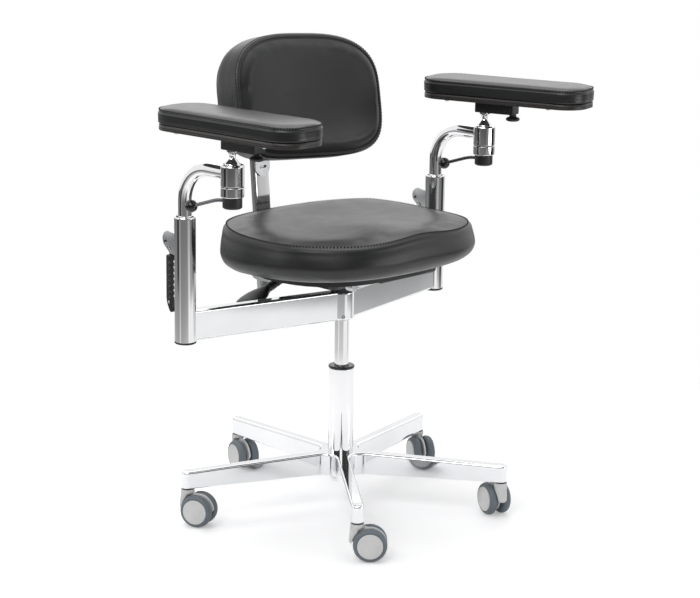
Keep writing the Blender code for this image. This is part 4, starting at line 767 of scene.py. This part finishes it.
def makeStud(name, front):
    # an arc of the ball, then two quadratic curves through the waist to the flare
    s, body = studSet, f"{name}_stud"
    ball = arcPoints(0, s["ballZ"], s["ball"], -90, 50, 27)
    t = np.linspace(0, 1, 10)[1:, None]
    waist, end = np.array([[s["neck"], s["neckZ"]]]), np.array([[s["flare"], s["top"] - 0.003]])
    lower = bendPoints(ball[-1:], np.array([[s["neck"] + 0.0006, s["neckZ"] - 0.0045]]), waist, t)
    upper = bendPoints(waist, np.array([[s["neck"] + 0.0002, s["neckZ"] + 0.0055]]), end, t)
    profile = np.concatenate([ball, lower, upper, [[s["flare"], s["top"]], [0, s["top"]]]])
    spun(f"{name}BallStud", profile, front, "chrome", body, f"{name}_ball_stud", None, 64, 0, 40.0)
    # slide block under the pad, with the tongue that runs in the board's groove
    turn, c = turnZ(padTurns[name]), blockSet
    shift = np.array([0, c["middle"]])
    steps = [(0, 0.002), (0.0002, 0.0009), (0.0009, 0.0002), (0.002, 0)]
    block = [level(roundedOutline(c["halfX"], c["halfY"], 0.0025, inset, 6, 4) + shift, z)
             for z, inset in edgeRows(c["low"], c["top"], steps)]
    outline = roundedOutline(c["tongue"], c["halfY"] - 0.004, 0.001, 0, 3, 2) + shift
    tongue = [level(outline, z) for z in (c["top"] - 0.002, c["top"] + 0.004)]
    grids = [np.array(rings) @ turn.T + front for rings in (block, tongue)]
    settle(buildPiece(f"{name}SlideBlock", grids, "black", 40.0), body, f"{name}_slide_block")
    k = knobSet
    r, stem, low, head = k["radius"], k["stem"], k["low"], k["head"]
    spun(f"{name}SlideKnob", [
        (0, low), (r - 0.004, low), (r - 0.001, low + 0.0015), (r, low + 0.004), (r, head - 0.003),
        (r - 0.003, head), (stem + 0.001, head + 0.0005), (stem, head + 0.002), (stem, k["top"]),
        (0, k["top"])],
        front + turn @ np.array([0, -k["ahead"], 0]), "black", f"{name}_knob", f"{name}_slide_knob", None, 48,
        sharp=40.0)


fronts = {}
for name, side in sides.items():
    makePost(name, side)
    makeSqueeze(name, side)
    fronts[name] = makeArm(name, side)
    makeClamp(name, fronts[name])
    makeStud(name, fronts[name])
print("posts, arms, clamps and studs done")


# cushions: a profile of inset and height runs round an outline, and a cloth simulation fills it out;
# a stitch is given by its pitch, length and half thickness
def smoothProfile(points, rows):
    # cubic curve through the section points, spaced by length, with slopes from their neighbours
    points = np.array(points, float)
    step = np.concatenate([[0], np.cumsum(np.linalg.norm(np.diff(points, axis=0), axis=1))])
    fine = np.linspace(0, step[-1], rows)
    slope = np.gradient(points, step, axis=0)
    k = np.clip(np.searchsorted(step, fine, "right") - 1, 0, len(step) - 2)
    h = (step[k + 1] - step[k])[:, None]
    t = ((fine - step[k]) / h[:, 0])[:, None]
    a, b = points[k], points[k + 1]
    return ((1 + 2 * t) * (1 - t) ** 2 * a + t * (1 - t) ** 2 * h * slope[k]
            + t ** 2 * (3 - 2 * t) * b + t ** 2 * (t - 1) * h * slope[k + 1])


def gridNormals(grid):
    # cross product of the steps round and along the grid
    n = np.cross(np.roll(grid, -1, 1) - np.roll(grid, 1, 1), np.gradient(grid, axis=0))
    return n / np.maximum(np.linalg.norm(n, axis=2, keepdims=True), 1e-9)


clothFrames = 20
clothSet = {"uniform_pressure_force": 4.0, "tension_stiffness": 30.0, "compression_stiffness": 30.0,
            "bending_stiffness": 4.0}


def swell(name, grid, voxel):
    # points of a remeshed copy before and after it has swelled under pressure
    rows, cols = grid.shape[:2]
    faces = gridFaces(rows, cols).tolist()
    faces += [list(range(cols - 1, -1, -1)), list(range((rows - 1) * cols, rows * cols))]
    mesh = bpy.data.meshes.new(name)
    mesh.from_pydata(grid.reshape(-1, 3).tolist(), [], faces)
    work = addObject(name, mesh)
    remesh = work.modifiers.new("voxels", "REMESH")
    remesh.mode = "VOXEL"
    remesh.voxel_size = voxel
    bpy.context.view_layer.update()
    rest = bpy.data.meshes.new_from_object(work.evaluated_get(bpy.context.evaluated_depsgraph_get()))
    work.modifiers.clear()
    work.data = rest
    before, after = np.zeros((2, len(rest.vertices) * 3))
    rest.vertices.foreach_get("co", before)
    cloth = work.modifiers.new("cloth", "CLOTH")
    cloth.settings.use_pressure = True
    for key, value in clothSet.items():
        setattr(cloth.settings, key, value)
    cloth.settings.effector_weights.gravity = 0.0
    cloth.collision_settings.use_collision = False
    cloth.point_cache.frame_end = clothFrames
    scene = bpy.context.scene
    for f in range(1, clothFrames + 1):
        scene.frame_set(f)
    work.evaluated_get(bpy.context.evaluated_depsgraph_get()).data.vertices.foreach_get("co", after)
    scene.frame_set(1)
    bpy.data.objects.remove(work, do_unlink=True)
    return before.reshape(-1, 3), after.reshape(-1, 3)


def fillOut(name, grid, voxel, cap, hold):
    # the swollen copy's movement, up to a cap, carried over to the fine grid, less near the seams
    before, after = swell(name, grid, voxel)
    move = after - before
    size = np.linalg.norm(move, axis=1, keepdims=True)
    move *= np.minimum(1.0, cap / np.maximum(size, 1e-9))
    flat = grid.reshape(-1, 3)
    carried = np.zeros_like(flat)
    for s in range(0, len(flat), 800):  # the four nearest simulated points, weighted by closeness
        d = ((flat[s:s + 800, None] - before[None]) ** 2).sum(2)
        near = np.argpartition(d, 4, 1)[:, :4]
        w = 1.0 / (np.take_along_axis(d, near, 1) + 1e-7)
        carried[s:s + 800] = (move[near] * (w / w.sum(1, keepdims=True))[:, :, None]).sum(1)
    print(name, "simulated points:", len(before), "largest move mm:", round(float(size.max()) * 1000, 1))
    return grid + carried.reshape(grid.shape) * hold[:, None, None]


def seamHold(profile, seams, width, foot):
    # one away from the seams, falling to nothing at each and toward the foot of the profile
    hold = np.clip(profile[:, 1] / foot, 0, 1)
    for seam in seams:
        d = np.linalg.norm(profile - np.array(seam), axis=1)
        hold *= 1 - np.exp(-(d / width) ** 2)
    return hold


def cushionPiece(name, grid, finish, fill, body, node):
    # fill: the simulation's voxel size, largest move and hold
    grid = fillOut(f"{name}Fill", grid, *fill)
    made = buildPiece(name, [grid], finish, 70.0)
    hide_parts(node)
    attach(made, body)
    return grid


def rowAt(profile, spot):
    # the profile's row nearest to an inset and height
    return int(np.argmin(np.linalg.norm(profile - np.array(spot), axis=1)))


def stitchRow(name, grid, row, size, body):
    # spindle-shaped stitches at an even pitch along a row of the grid, sunk half into the surface
    pitch, length, thick = size
    closed = np.concatenate([grid[row], grid[row][:1]])
    out = gridNormals(grid)[row]
    outs = np.concatenate([out, out[:1]])
    step = np.concatenate([[0], np.cumsum(np.linalg.norm(np.diff(closed, axis=0), axis=1))])
    count = int(step[-1] / pitch)
    at = np.arange(count) * step[-1] / count
    mid, ahead, n = (np.stack([np.interp(x, step, line[:, i]) for i in range(3)], -1)
                     for x, line in ((at, closed), ((at + 0.001) % step[-1], closed), (at, outs)))
    t = ahead - mid
    t /= np.linalg.norm(t, axis=1, keepdims=True)
    n -= t * (n * t).sum(1, keepdims=True)
    n /= np.linalg.norm(n, axis=1, keepdims=True)
    b = np.cross(t, n)
    u = np.array([-0.5, -0.42, -0.15, 0.15, 0.42, 0.5])
    r = np.array([0.15, 0.72, 1.0, 1.0, 0.72, 0.15]) * thick
    lift = np.array([-0.6, 0.1, 0.35, 0.35, 0.1, -0.6]) * thick
    a = np.arange(6) / 6 * 2 * np.pi
    ring = n[:, None, None] * np.cos(a)[:, None] + b[:, None, None] * np.sin(a)[:, None]
    line = mid[:, None] + t[:, None] * (u * length)[None, :, None] + n[:, None] * lift[None, :, None]
    settle(buildPiece(name, list(line[:, :, None] + ring * r[None, :, None, None]), "thread", 60.0), body)


# arm pads: crowned panel, a stitched seam round its edge and a drawn-in side band
padSet = {"halfX": 0.059, "halfY": 0.1765, "corner": 0.046, "low": 0.7910, "side": 0.0225, "cap": 0.0012,
          "voxel": 0.005, "boardLow": 0.7803, "board": 0.0105, "boardInset": 0.0025, "groove": 0.0046,
          "grooveX": 0.0066, "grooveY": 0.150, "screwX": 0.048, "screwY": 0.11, "full": 0.85,
          "stitch": (0.0052, 0.0033, 0.0013)}


def padOutline(s, inset):
    # a rounded rectangle whose corners stay round as it shrinks toward the middle of the panel
    corner = min(s["corner"] - 0.3 * inset, s["halfX"] - inset)
    return roundedOutline(s["halfX"], s["halfY"], corner + inset, inset, 12, 16)


def makePad(name):
    # the section goes up the side band, in at the seam and over the panel's low dome
    s, body = padSet, f"{name}_pad"
    turn = turnZ(padTurns[name])
    place = fronts[name] + turn @ np.array([0, -padAhead[name], 0])
    top = s["side"]
    section = [(0.030, 0.0), (0.0048, 0.0002), (0.0014, 0.0028), (0.0008, 0.008), (0.0008, top - 0.0060),
               (0.0012, top - 0.0020), (0.0026, top - 0.0004), (0.0029, top + 0.0006), (0.0022, top + 0.0020),
               (0.0030, top + 0.0037), (0.0058, top + 0.0056), (0.0105, top + 0.0069), (0.0170, top + 0.0077),
               (0.0260, top + 0.0083), (0.0400, top + 0.0087), (0.0575, top + 0.0089)]
    profile = smoothProfile(section, 76)
    grid = np.array([level(padOutline(s, i), s["low"] + h) for i, h in profile]) @ turn.T + place
    hold = seamHold(profile, [(0.0028, top)], 0.006, 0.006)
    grid = cushionPiece(f"{name}Pad", grid, "taut", (s["voxel"], s["cap"], hold), body,
                        f"{name}_pad_cushion")
    stitchRow(f"{name}PadStitches", grid, rowAt(profile, (0.0028, top + 0.0034)), s["stitch"], body)
    # board under the pad: a lower layer cut by the groove for the slide's tongue, and plain layers over it
    low, split, inset = s["boardLow"], s["groove"], s["boardInset"]
    groove = roundedOutline(s["grooveX"], s["grooveY"], 0.001, 0, 3, 4)
    lower = platePiece(f"{name}PadBoardLow", [padOutline(s, inset), groove], split, 0.0005, turn,
                       place + np.array([0, 0, low + split / 2]), "ply")
    rings = [level(padOutline(s, inset + i), low + h) for i, h in (
        (0.0006, split), (0.0, split + 0.0005), (0.0, s["board"] - 0.0012), (0.0010, s["board"]))]
    upper = buildPiece(f"{name}PadBoard", [np.array(rings) @ turn.T + place], "ply", 50.0)
    for board in (lower, upper):
        settle(board, body, f"{name}_pad_board")
    # screws up into the board from below
    for i, (x, y) in enumerate(((-1, -1), (1, -1), (-1, 1), (1, 1))):
        spot = place + turn @ np.array([x * s["screwX"], y * s["screwY"], 0]) + np.array([0, 0, low])
        spun(f"{name}PadScrew_{i + 1}", [
            (0, -0.0032), (0.0026, -0.0032), (0.0044, -0.0016), (0.0046, 0.0002), (0, 0.0002)],
            spot, "satin", body, None, None, 24, 0.0004, 40.0)


for name in sides:
    makePad(name)
print("arm pads done")

# seat: superellipse with a deep side, stitched top seam and a ridge between two hollows
seatSet = {"halfX": 0.246, "halfY": 0.211, "power": 2.6, "back": -0.017, "boardZ": 0.4791, "under": 0.0127,
           "side": 0.080, "seam": 0.0148, "crown": 0.013, "hollow": 0.011, "lift": 0.006,
           "tilt": -2.5, "cap": 0.0016, "voxel": 0.0065, "around": 240, "rows": 44,
           "full": 0.8, "stitch": (0.0064, 0.0042, 0.0014)}


def seatWave(s, x, y):
    # height of the seam: low at the front corners, rising to the back and to a ridge between the thighs
    ahead = y + 0.12
    slope = np.where(ahead > 0, 0.23 * ahead ** 2, 0.030 * ahead) - 0.008
    ridge = np.exp(-(x / 0.075) ** 2) * np.clip(-y / s["halfY"], 0, 1)
    return np.minimum(0.007, slope) + 0.009 * ridge


def seatHollow(x, y):
    # a dip for each thigh and one behind the ridge, joined smoothly
    left = np.ones_like(x)
    for cx, cy, wx, wy in ((-0.10, -0.03, 0.08, 0.11), (0.10, -0.03, 0.08, 0.11), (0, 0.045, 0.10, 0.08)):
        left = left * (1 - np.exp(-((x - cx) / wx) ** 2 - ((y - cy) / wy) ** 2))
    return 1 - left


def makeSeat(s):
    # side rings follow the section and rise with the wave; top rings shrink over crown and hollows
    top, seam, brim = s["side"], s["seam"], s["side"] + 0.0018
    section = [(0.075, 0.0), (0.034, 0.0014), (0.017, 0.0070), (0.0075, 0.0145), (0.0016, 0.028),
               (0.0022, 0.046), (0.0056, 0.064), (0.0086, top - 0.0058), (0.0104, top - 0.0030),
               (0.0126, top - 0.0014), (0.0134, top + 0.0002), (seam, brim)]
    profile = smoothProfile(section, 64)
    rings = []
    for i, h in np.maximum(profile, 0.0):
        o = ovalOutline(s["halfX"] - i, s["halfY"] - i, s["power"], s["around"])
        # the lower edge lifts a little toward the front
        front = np.clip((0.08 - o[:, 1]) / 0.2, 0, 1)
        lift = s["lift"] * front * (1 - h / (top + 0.002)) * np.clip(1 - i / 0.06, 0, 1)
        rings.append(level(o, h + (h / top) ** 1.5 * seatWave(s, *o.T) + lift))
    scales = np.linspace(0.985, 0.02, s["rows"])
    for q in scales:
        o = ovalOutline((s["halfX"] - seam) * q, (s["halfY"] - seam) * q, s["power"], s["around"])
        rise = s["crown"] * (1 - q ** 4) - s["hollow"] * seatHollow(*o.T) * (1 - q ** 8)
        rings.append(level(o, brim + seatWave(s, *o.T) + rise))
    grid = np.array(rings) + np.array([0, 0, s["under"]])
    grid = grid @ turnX(s["tilt"]).T + columnAxis + np.array([0, s["back"], s["boardZ"]])
    line = np.concatenate([profile, [[seam + (1 - q) * 0.2, top + 0.01 * (1 - q)] for q in scales]])
    hold = seamHold(line, [(0.0126, top - 0.0014)], 0.012, 0.012)
    grid = cushionPiece("seatPad", grid, "hide", (s["voxel"], s["cap"], hold), "seat",
                        "seat_cushion")
    stitchRow("seatStitches", grid, rowAt(profile, (0.0143, top + 0.0012)), s["stitch"], "seat")


makeSeat(seatSet)
print("seat done")

# backrest: boxed sides, stitched seam and a dark welt inside the front edge
backSet = {"halfX": 0.1918, "halfY": 0.120, "power": 2.9, "lowPower": 4.3, "drop": 0.007, "roll": 3.9,
           "aside": -0.003, "wrap": 0.016, "side": 0.046, "crown": 0.010, "cap": 0.0022, "voxel": 0.006,
           "ahead": 0.037, "around": 200, "lean": 5.3, "along": 0.345, "reach": 0.070, "tilt": 13.0,
           "hinge": (0.0, 0.2217, 0.4398), "welt": 0.0016, "lug": 0.011, "lugBore": 0.0043, "lugReach": 0.032,
           "full": 0.8, "stitch": (0.0062, 0.0042, 0.0010), "innerStitch": (0.0062, 0.0042, 0.0008)}


def backOutline(s, inset):
    # the lower half is a little deeper, with squarer corners
    upper = ovalOutline(s["halfX"] - inset, s["halfY"] - inset, s["power"], s["around"])
    lower = ovalOutline(s["halfX"] - inset, s["halfY"] + s["drop"] - inset, s["lowPower"], s["around"])
    return np.where(upper[:, 1:] >= -1e-9, upper, lower)


def makeBackrest(s):
    # from the hinge up the leaning bar, forward to the ears' pin, then tilted back and rolled a little
    pin = columnAxis + np.array(s["hinge"]) + turnX(-s["lean"]) @ np.array([0, -s["reach"], s["along"]])
    turn = turnX(90.0 - s["tilt"])
    rolled, body, side = turn @ turnZ(-s["roll"]), "backrest", s["side"]
    section = [(0.050, 0.0), (0.006, 0.0006), (0.0016, 0.006), (0.0008, 0.020), (0.0016, side - 0.010),
               (0.0036, side - 0.0035), (0.0062, side - 0.0006), (0.0080, side + 0.0002),
               (0.0100, side - 0.0008), (0.0118, side + 0.0004), (0.0150, side + 0.0026)]
    section += [(0.120 * q, side + 0.0026 + s["crown"] * (1 - (1 - q) ** 2.2))
                for q in (0.2, 0.32, 0.48, 0.66, 0.84, 0.985)]
    profile = smoothProfile(section, 96)
    rings = []
    for i, h in profile:
        o = backOutline(s, i)
        wrap = np.clip((h - 0.004) / 0.034, 0, 1)
        rings.append(level(o, h + wrap * s["wrap"] * (o[:, 0] / s["halfX"]) ** 2))
    grid = (np.array(rings) + np.array([s["aside"], 0, s["ahead"]])) @ rolled.T + pin
    hold = seamHold(profile, [(0.0062, side - 0.0006), (0.0100, side - 0.0008)], 0.008, 0.006)
    grid = cushionPiece("backrestPad", grid, "hide", (s["voxel"], s["cap"], hold), body,
                        "back_cushion")
    stitchRow("backStitches", grid, rowAt(profile, (0.0036, side - 0.0035)), s["stitch"], body)
    stitchRow("backInnerStitches", grid, rowAt(profile, (0.0135, side + 0.0016)), s["innerStitch"], body)
    row = rowAt(profile, (0.0100, side - 0.0008))
    path = grid[row] + gridNormals(grid)[row] * 0.0004
    path = np.concatenate([path, path[:2]])
    settle(buildPiece("backWelt", [swept(path, s["welt"], 10)], "welt", 60.0, False), body)
    # board behind the pad, and the lug that turns on the carrier's pin
    spot = pin + rolled @ np.array([s["aside"], 0, s["ahead"] - 0.0053])
    board = platePiece("backBoard", [backOutline(s, 0.012)], 0.010, 0.002, rolled, spot, "board")
    r, far = s["lug"], s["lugReach"]
    lug = np.concatenate([arcPoints(0, 0, r, 180, 360, 24), [(r, far), (-r, far)]])
    hinge = platePiece("backLug", [lug, arcPoints(0, 0, s["lugBore"], 0, 345, 23)], 0.0408, 0.0008,
                       turn @ upright, pin, "board")
    for piece in (board, hinge):
        settle(piece, body, "back_board")


makeBackrest(backSet)

# back bar: a rounded flat bar leaning back from the hinge
barSet = {"halfX": 0.020, "halfY": 0.0075, "corner": 0.0045, "low": -0.046, "top": 0.405}


def makeBar(s):
    # rounded rectangles that draw in toward both ends
    steps = [(0, 0.004), (0.0005, 0.0018), (0.002, 0.0003), (0.004, 0)]
    rings = [level(roundedOutline(s["halfX"], s["halfY"], s["corner"], inset, 8, 3), z)
             for z, inset in edgeRows(s["low"], s["top"], steps)]
    grid = np.array(rings) @ turnX(-backSet["lean"]).T + columnAxis + np.array(backSet["hinge"])
    settle(buildPiece("backBar", [grid], "chrome", 40.0), "back_bar", "back_bar")


makeBar(barSet)
print("backrest done")

# height lever: grey bar with a black grip on a hub in front of the mechanism
leverSet = {"place": (-0.030, -0.055, 0.4568), "bar": 0.005, "hub": 0.009, "gripFrom": 0.075, "length": 0.230,
            "grip": 0.0075, "gripNeck": 0.0066}


def makeLever(s):
    # bar and grip swept along nearly straight paths, and a hub turned across them
    at, body = columnAxis + np.array(s["place"]), "height_lever"
    start, end, hub = s["gripFrom"], s["length"], s["hub"]
    bar = swept(np.array([[0.004, 0, 0], [0.04, 0, 0.0005], [start + 0.01, 0, 0.001]]) + at, s["bar"], 28)
    boss = turned([(0, -hub), (hub - 0.001, -hub), (hub, -hub + 0.001), (hub, hub - 0.001),
                   (hub - 0.001, hub), (0, hub)], at, alongY, 40)
    settle(buildPiece("heightLever", [bar, boss], "satin", 40.0), body, "height_lever")
    x = np.array([start, start + 0.001, start + 0.006, end - 0.006, end - 0.0015, end])
    path = np.stack([x, 0 * x, 0.001 + 0.001 * (x - start) / (end - start)], -1)
    radii = (0.0058, s["gripNeck"], s["grip"], s["grip"], s["gripNeck"], 0.0045)
    settle(buildPiece("heightLeverGrip", [swept(path + at, radii, 32)], "black", 40.0), body)


makeLever(leverSet)

# tilt paddle: ribbed neck that widens into a flat blade, drooping to the right
paddleSet = {"place": (-0.0489, 0.105, 0.4548), "droop": 20.0, "stem": 0.0048, "neck": 0.008, "start": 0.0155,
             "pitch": 0.010, "ribs": 4, "length": 0.066, "wide": 0.027, "thick": 0.006, "hub": 0.0065,
             "hubHalf": 0.0089, "around": 40}


def makePaddle(s):
    # sections of distance, half thickness and half width scale one oval; narrow dips part the ribs
    at, start, stem = columnAxis + np.array(s["place"]), s["start"], s["stem"]
    a = math.radians(-90 - s["droop"])
    lean = np.array([[math.cos(a), 0, math.sin(a)], [0, 1.0, 0], [-math.sin(a), 0, math.cos(a)]])
    t = np.linspace(0, s["ribs"], 60)
    r = s["neck"] * (1 - 0.22 * np.exp(-(((t % 1.0) - 0.85) / 0.13) ** 2))
    shank = [[0, stem, stem], [start - 0.003, stem, stem], [start - 0.0008, 0.0072, 0.0072]]
    neck = np.stack([start + t * s["pitch"], r, r], -1)
    share = np.array([(0.02, 1.25, 0.36), (0.14, 1.26, 0.52), (0.3, 1.2, 0.80), (0.6, 1.0, 1.0),
                      (0.85, 0.85, 0.97), (0.95, 0.68, 0.90), (0.99, 0.45, 0.82), (1.0, 0.2, 0.72)])
    share = share * (s["length"], s["thick"], s["wide"]) + (start + s["pitch"] * s["ribs"], 0, 0)
    sections = np.concatenate([shank, neck, smoothProfile(share, 40)])
    o = ovalOutline(1.0, 1.0, 2.3, s["around"])
    grid = np.array([level(o * (thick, wide), along) for along, thick, wide in sections])
    hub, half = s["hub"], s["hubHalf"]
    boss = turned([(0, -half), (hub, -half), (hub, half), (0, half)], at, alongY, 32)
    settle(buildPiece("tiltPaddle", [grid @ lean.T + at, boss], "black", 50.0), "tilt_paddle", "tilt_paddle")


makePaddle(paddleSet)
print("levers done")

# stage: pale floor that fades into the white surround, soft lamps and a ring that only reflections see
floorSet = {"half": 6, "z": -0.0004, "colour": (0.86, 0.86, 0.87), "seen": 0.30, "mirrored": 0.27,
            "shrink": 0.55, "fade": (0.25, 0.62)}


def makeFloor(s):
    # a little light of its own for the camera and for reflections, so that the lit floor reads as white
    h, z = s["half"], s["z"]
    mesh = bpy.data.meshes.new("floor")
    mesh.from_pydata([(-h, -h, z), (h, -h, z), (h, h, z), (-h, h, z)], [], [(0, 1, 2, 3)])
    made = addObject("floor", mesh)
    paint, tree, shader, coords = newMaterial("paleFloor", s["colour"], 0.6, 0.0, 0.2)
    rays = addNode(tree, "LightPath", {}).outputs
    seen = addNode(tree, "Math", {0: rays["Is Camera Ray"], 1: s["seen"]}, "MULTIPLY")
    lift = addNode(tree, "Math", {0: rays["Is Glossy Ray"], 1: s["mirrored"], 2: seen.outputs[0]},
                   "MULTIPLY_ADD")
    feed(tree, shader, {"Emission Color": (1.0, 1.0, 1.0, 1.0), "Emission Strength": lift.outputs[0]})
    # clear far out, solid near the chair
    scale = addNode(tree, "Mapping", {"Vector": coords, "Scale": (s["shrink"],) * 3})
    fade = addNode(tree, "TexGradient", {"Vector": scale.outputs["Vector"]})
    fade.gradient_type = "SPHERICAL"
    ramp = addNode(tree, "ValToRGB", {"Fac": fade.outputs["Fac"]})
    for stop, place in zip(ramp.color_ramp.elements, s["fade"]):
        stop.position = place
    clear = addNode(tree, "BsdfTransparent", {})
    mix = addNode(tree, "MixShader", {"Fac": ramp.outputs["Color"], 1: clear.outputs["BSDF"],
                                      2: shader.outputs["BSDF"]})
    feed(tree, tree.nodes["Material Output"], {"Surface": mix.outputs["Shader"]})
    mesh.materials.append(paint)


def makeWorld(strength):
    # white at full strength to the camera, mirrors and glass, and dimmer as a light on the object
    world = bpy.data.worlds.new("studio")
    bpy.context.scene.world = world
    world.use_nodes = True
    tree = world.node_tree
    room = tree.nodes["Background"]
    feed(tree, room, {"Color": (1, 1, 1, 1), "Strength": strength})
    seen = addNode(tree, "Background", {"Color": (1, 1, 1, 1), "Strength": 1.0})
    rays = addNode(tree, "LightPath", {}).outputs
    either = addNode(tree, "Math", {0: rays["Is Camera Ray"], 1: rays["Is Glossy Ray"]}, "MAXIMUM")
    anyOf = addNode(tree, "Math", {0: either.outputs[0], 1: rays["Is Transmission Ray"]}, "MAXIMUM")
    mix = addNode(tree, "MixShader", {"Fac": anyOf.outputs[0], 1: room.outputs["Background"],
                                      2: seen.outputs["Background"]})
    feed(tree, tree.nodes["World Output"], {"Surface": mix.outputs["Shader"]})


# name: place, height aimed at over the origin, width and height, power
lampSet = {"keyLamp": ((-3.0, -1.0, 3.2), 0.4, (2.4, 2.4), 60),
           "fillLamp": ((-2.4, -2.9, 1.9), 0.5, (1.4, 1.4), 8),
           "topLamp": ((0.3, 0.6, 3.8), 0.3, (3.2, 3.2), 64),
           "backLamp": ((2.2, 2.2, 1.95), 0.8, (3.2, 1.0), 9),
           "rightLamp": ((1.2, -2.8, 0.6), 0.6, (1.7, 0.8), 16),
           "leftLamp": ((-2.9, 1.6, 1.6), 0.6, (1.2, 1.6), 14)}


def makeLamp(name, place, aim, size, power):
    # a soft rectangle whose back points away from what it is aimed at
    data = bpy.data.lights.new(name, "AREA")
    data.shape = "RECTANGLE"
    data.size, data.size_y = size
    data.energy = power
    back = np.array(place, float) - np.array([0, 0, aim])
    back /= np.linalg.norm(back)
    right = np.cross([0, 0, 1.0], back)
    right /= np.linalg.norm(right)
    made = addObject(name, data)
    standAt(made, right, np.cross(back, right), back, place)
    made.visible_camera = False


# what the polished metal sees of the room: a floor ring, white near the chair and darker further out,
# and a wall round it, dark on the camera's side; turns are in degrees from the camera's own direction
glowSet = {"toward": 225.1, "height": 0.004, "rows": 96, "step": 2.0,
           "reach": (1.06, 1.2, 1.36, 1.43, 1.59, 1.80, 2.16, 2.67, 3.14, 4.0, 4.3, 6.0),
           "grey": (1.0, 0.68, 0.64, 0.60, 0.53, 0.41, 0.31, 0.23, 0.20, 0.17, 0.11, 0.08),
           "dark": ((-73, 11, 2.25, 0.88), (97, 12, 1.72, 0.93)),
           "bright": ((38, 13, 1.2, 9), (-52, 7, 0.8, 9), (66, 28, 1.2, 1.85), (140, 15, 4.0, 9)),
           "wall": (83, 9, 3.6, 2.2), "wallRows": 30, "wallGrey": 0.05}


def makeGlow(s):
    # brightness by distance, cut by flat-topped gaps that start further out
    # and lifted by flat-topped strips that end
    far = s["reach"][-1]
    r, a = np.meshgrid(np.linspace(s["reach"][0], far, s["rows"]), np.arange(-180, 180, s["step"]),
                       indexing="ij")
    glow = np.interp(r, s["reach"], s["grey"])
    for mid, half, start, share in s["dark"]:
        glow *= 1 - share * np.exp(-((a - mid) / half) ** 4) * np.clip((r - start) / 0.3, 0, 1)
    for mid, half, gain, end in s["bright"]:
        glow *= 1 + gain * np.exp(-((a - mid) / half) ** 4) * np.clip((end - r) / 0.3, 0, 1)
    # the wall: grey up to a height on the camera's side, white elsewhere, with soft changes between
    side, soft, high, rise = s["wall"]
    z, b = np.meshgrid(np.linspace(0, high + rise, s["wallRows"]), a[0], indexing="ij")
    white = np.maximum(np.clip((np.abs(b) - side) / soft, 0, 1), np.clip((z - high) / rise, 0, 1))
    z = np.concatenate([0 * r, z]) + s["height"]
    r, a = np.concatenate([r, np.full(b.shape, far)]), np.concatenate([a, b])
    glow = np.concatenate([glow, s["wallGrey"] + (1 - s["wallGrey"]) * white])
    t = np.radians(a + s["toward"])
    grid = np.stack([r * np.cos(t), r * np.sin(t), z], -1) + columnAxis
    mesh = bpy.data.meshes.new("glowRing")
    mesh.from_pydata(grid.reshape(-1, 3).tolist(), [], gridFaces(*r.shape).tolist())
    mesh.attributes.new("glow", "FLOAT", "POINT").data.foreach_set("value", np.minimum(glow, 1.0).ravel())
    made = addObject("glowRing", mesh)
    paint, tree, shader, _ = newMaterial("glowRing", (0.0, 0.0, 0.0), 1.0, 0.0, 0.0)
    value = addNode(tree, "Attribute", {})
    value.attribute_name = "glow"
    feed(tree, shader, {"Emission Color": (1.0, 1.0, 1.0, 1.0), "Emission Strength": value.outputs["Fac"]})
    mesh.materials.append(paint)
    # only reflections see it
    made.visible_camera = False
    made.visible_diffuse = False
    made.visible_shadow = False


makeFloor(floorSet)
makeWorld(0.36)
for name, lamp in lampSet.items():
    makeLamp(name, *lamp)
makeGlow(glowSet)
bpy.context.scene.view_settings.view_transform = "Standard"
print("stage done")
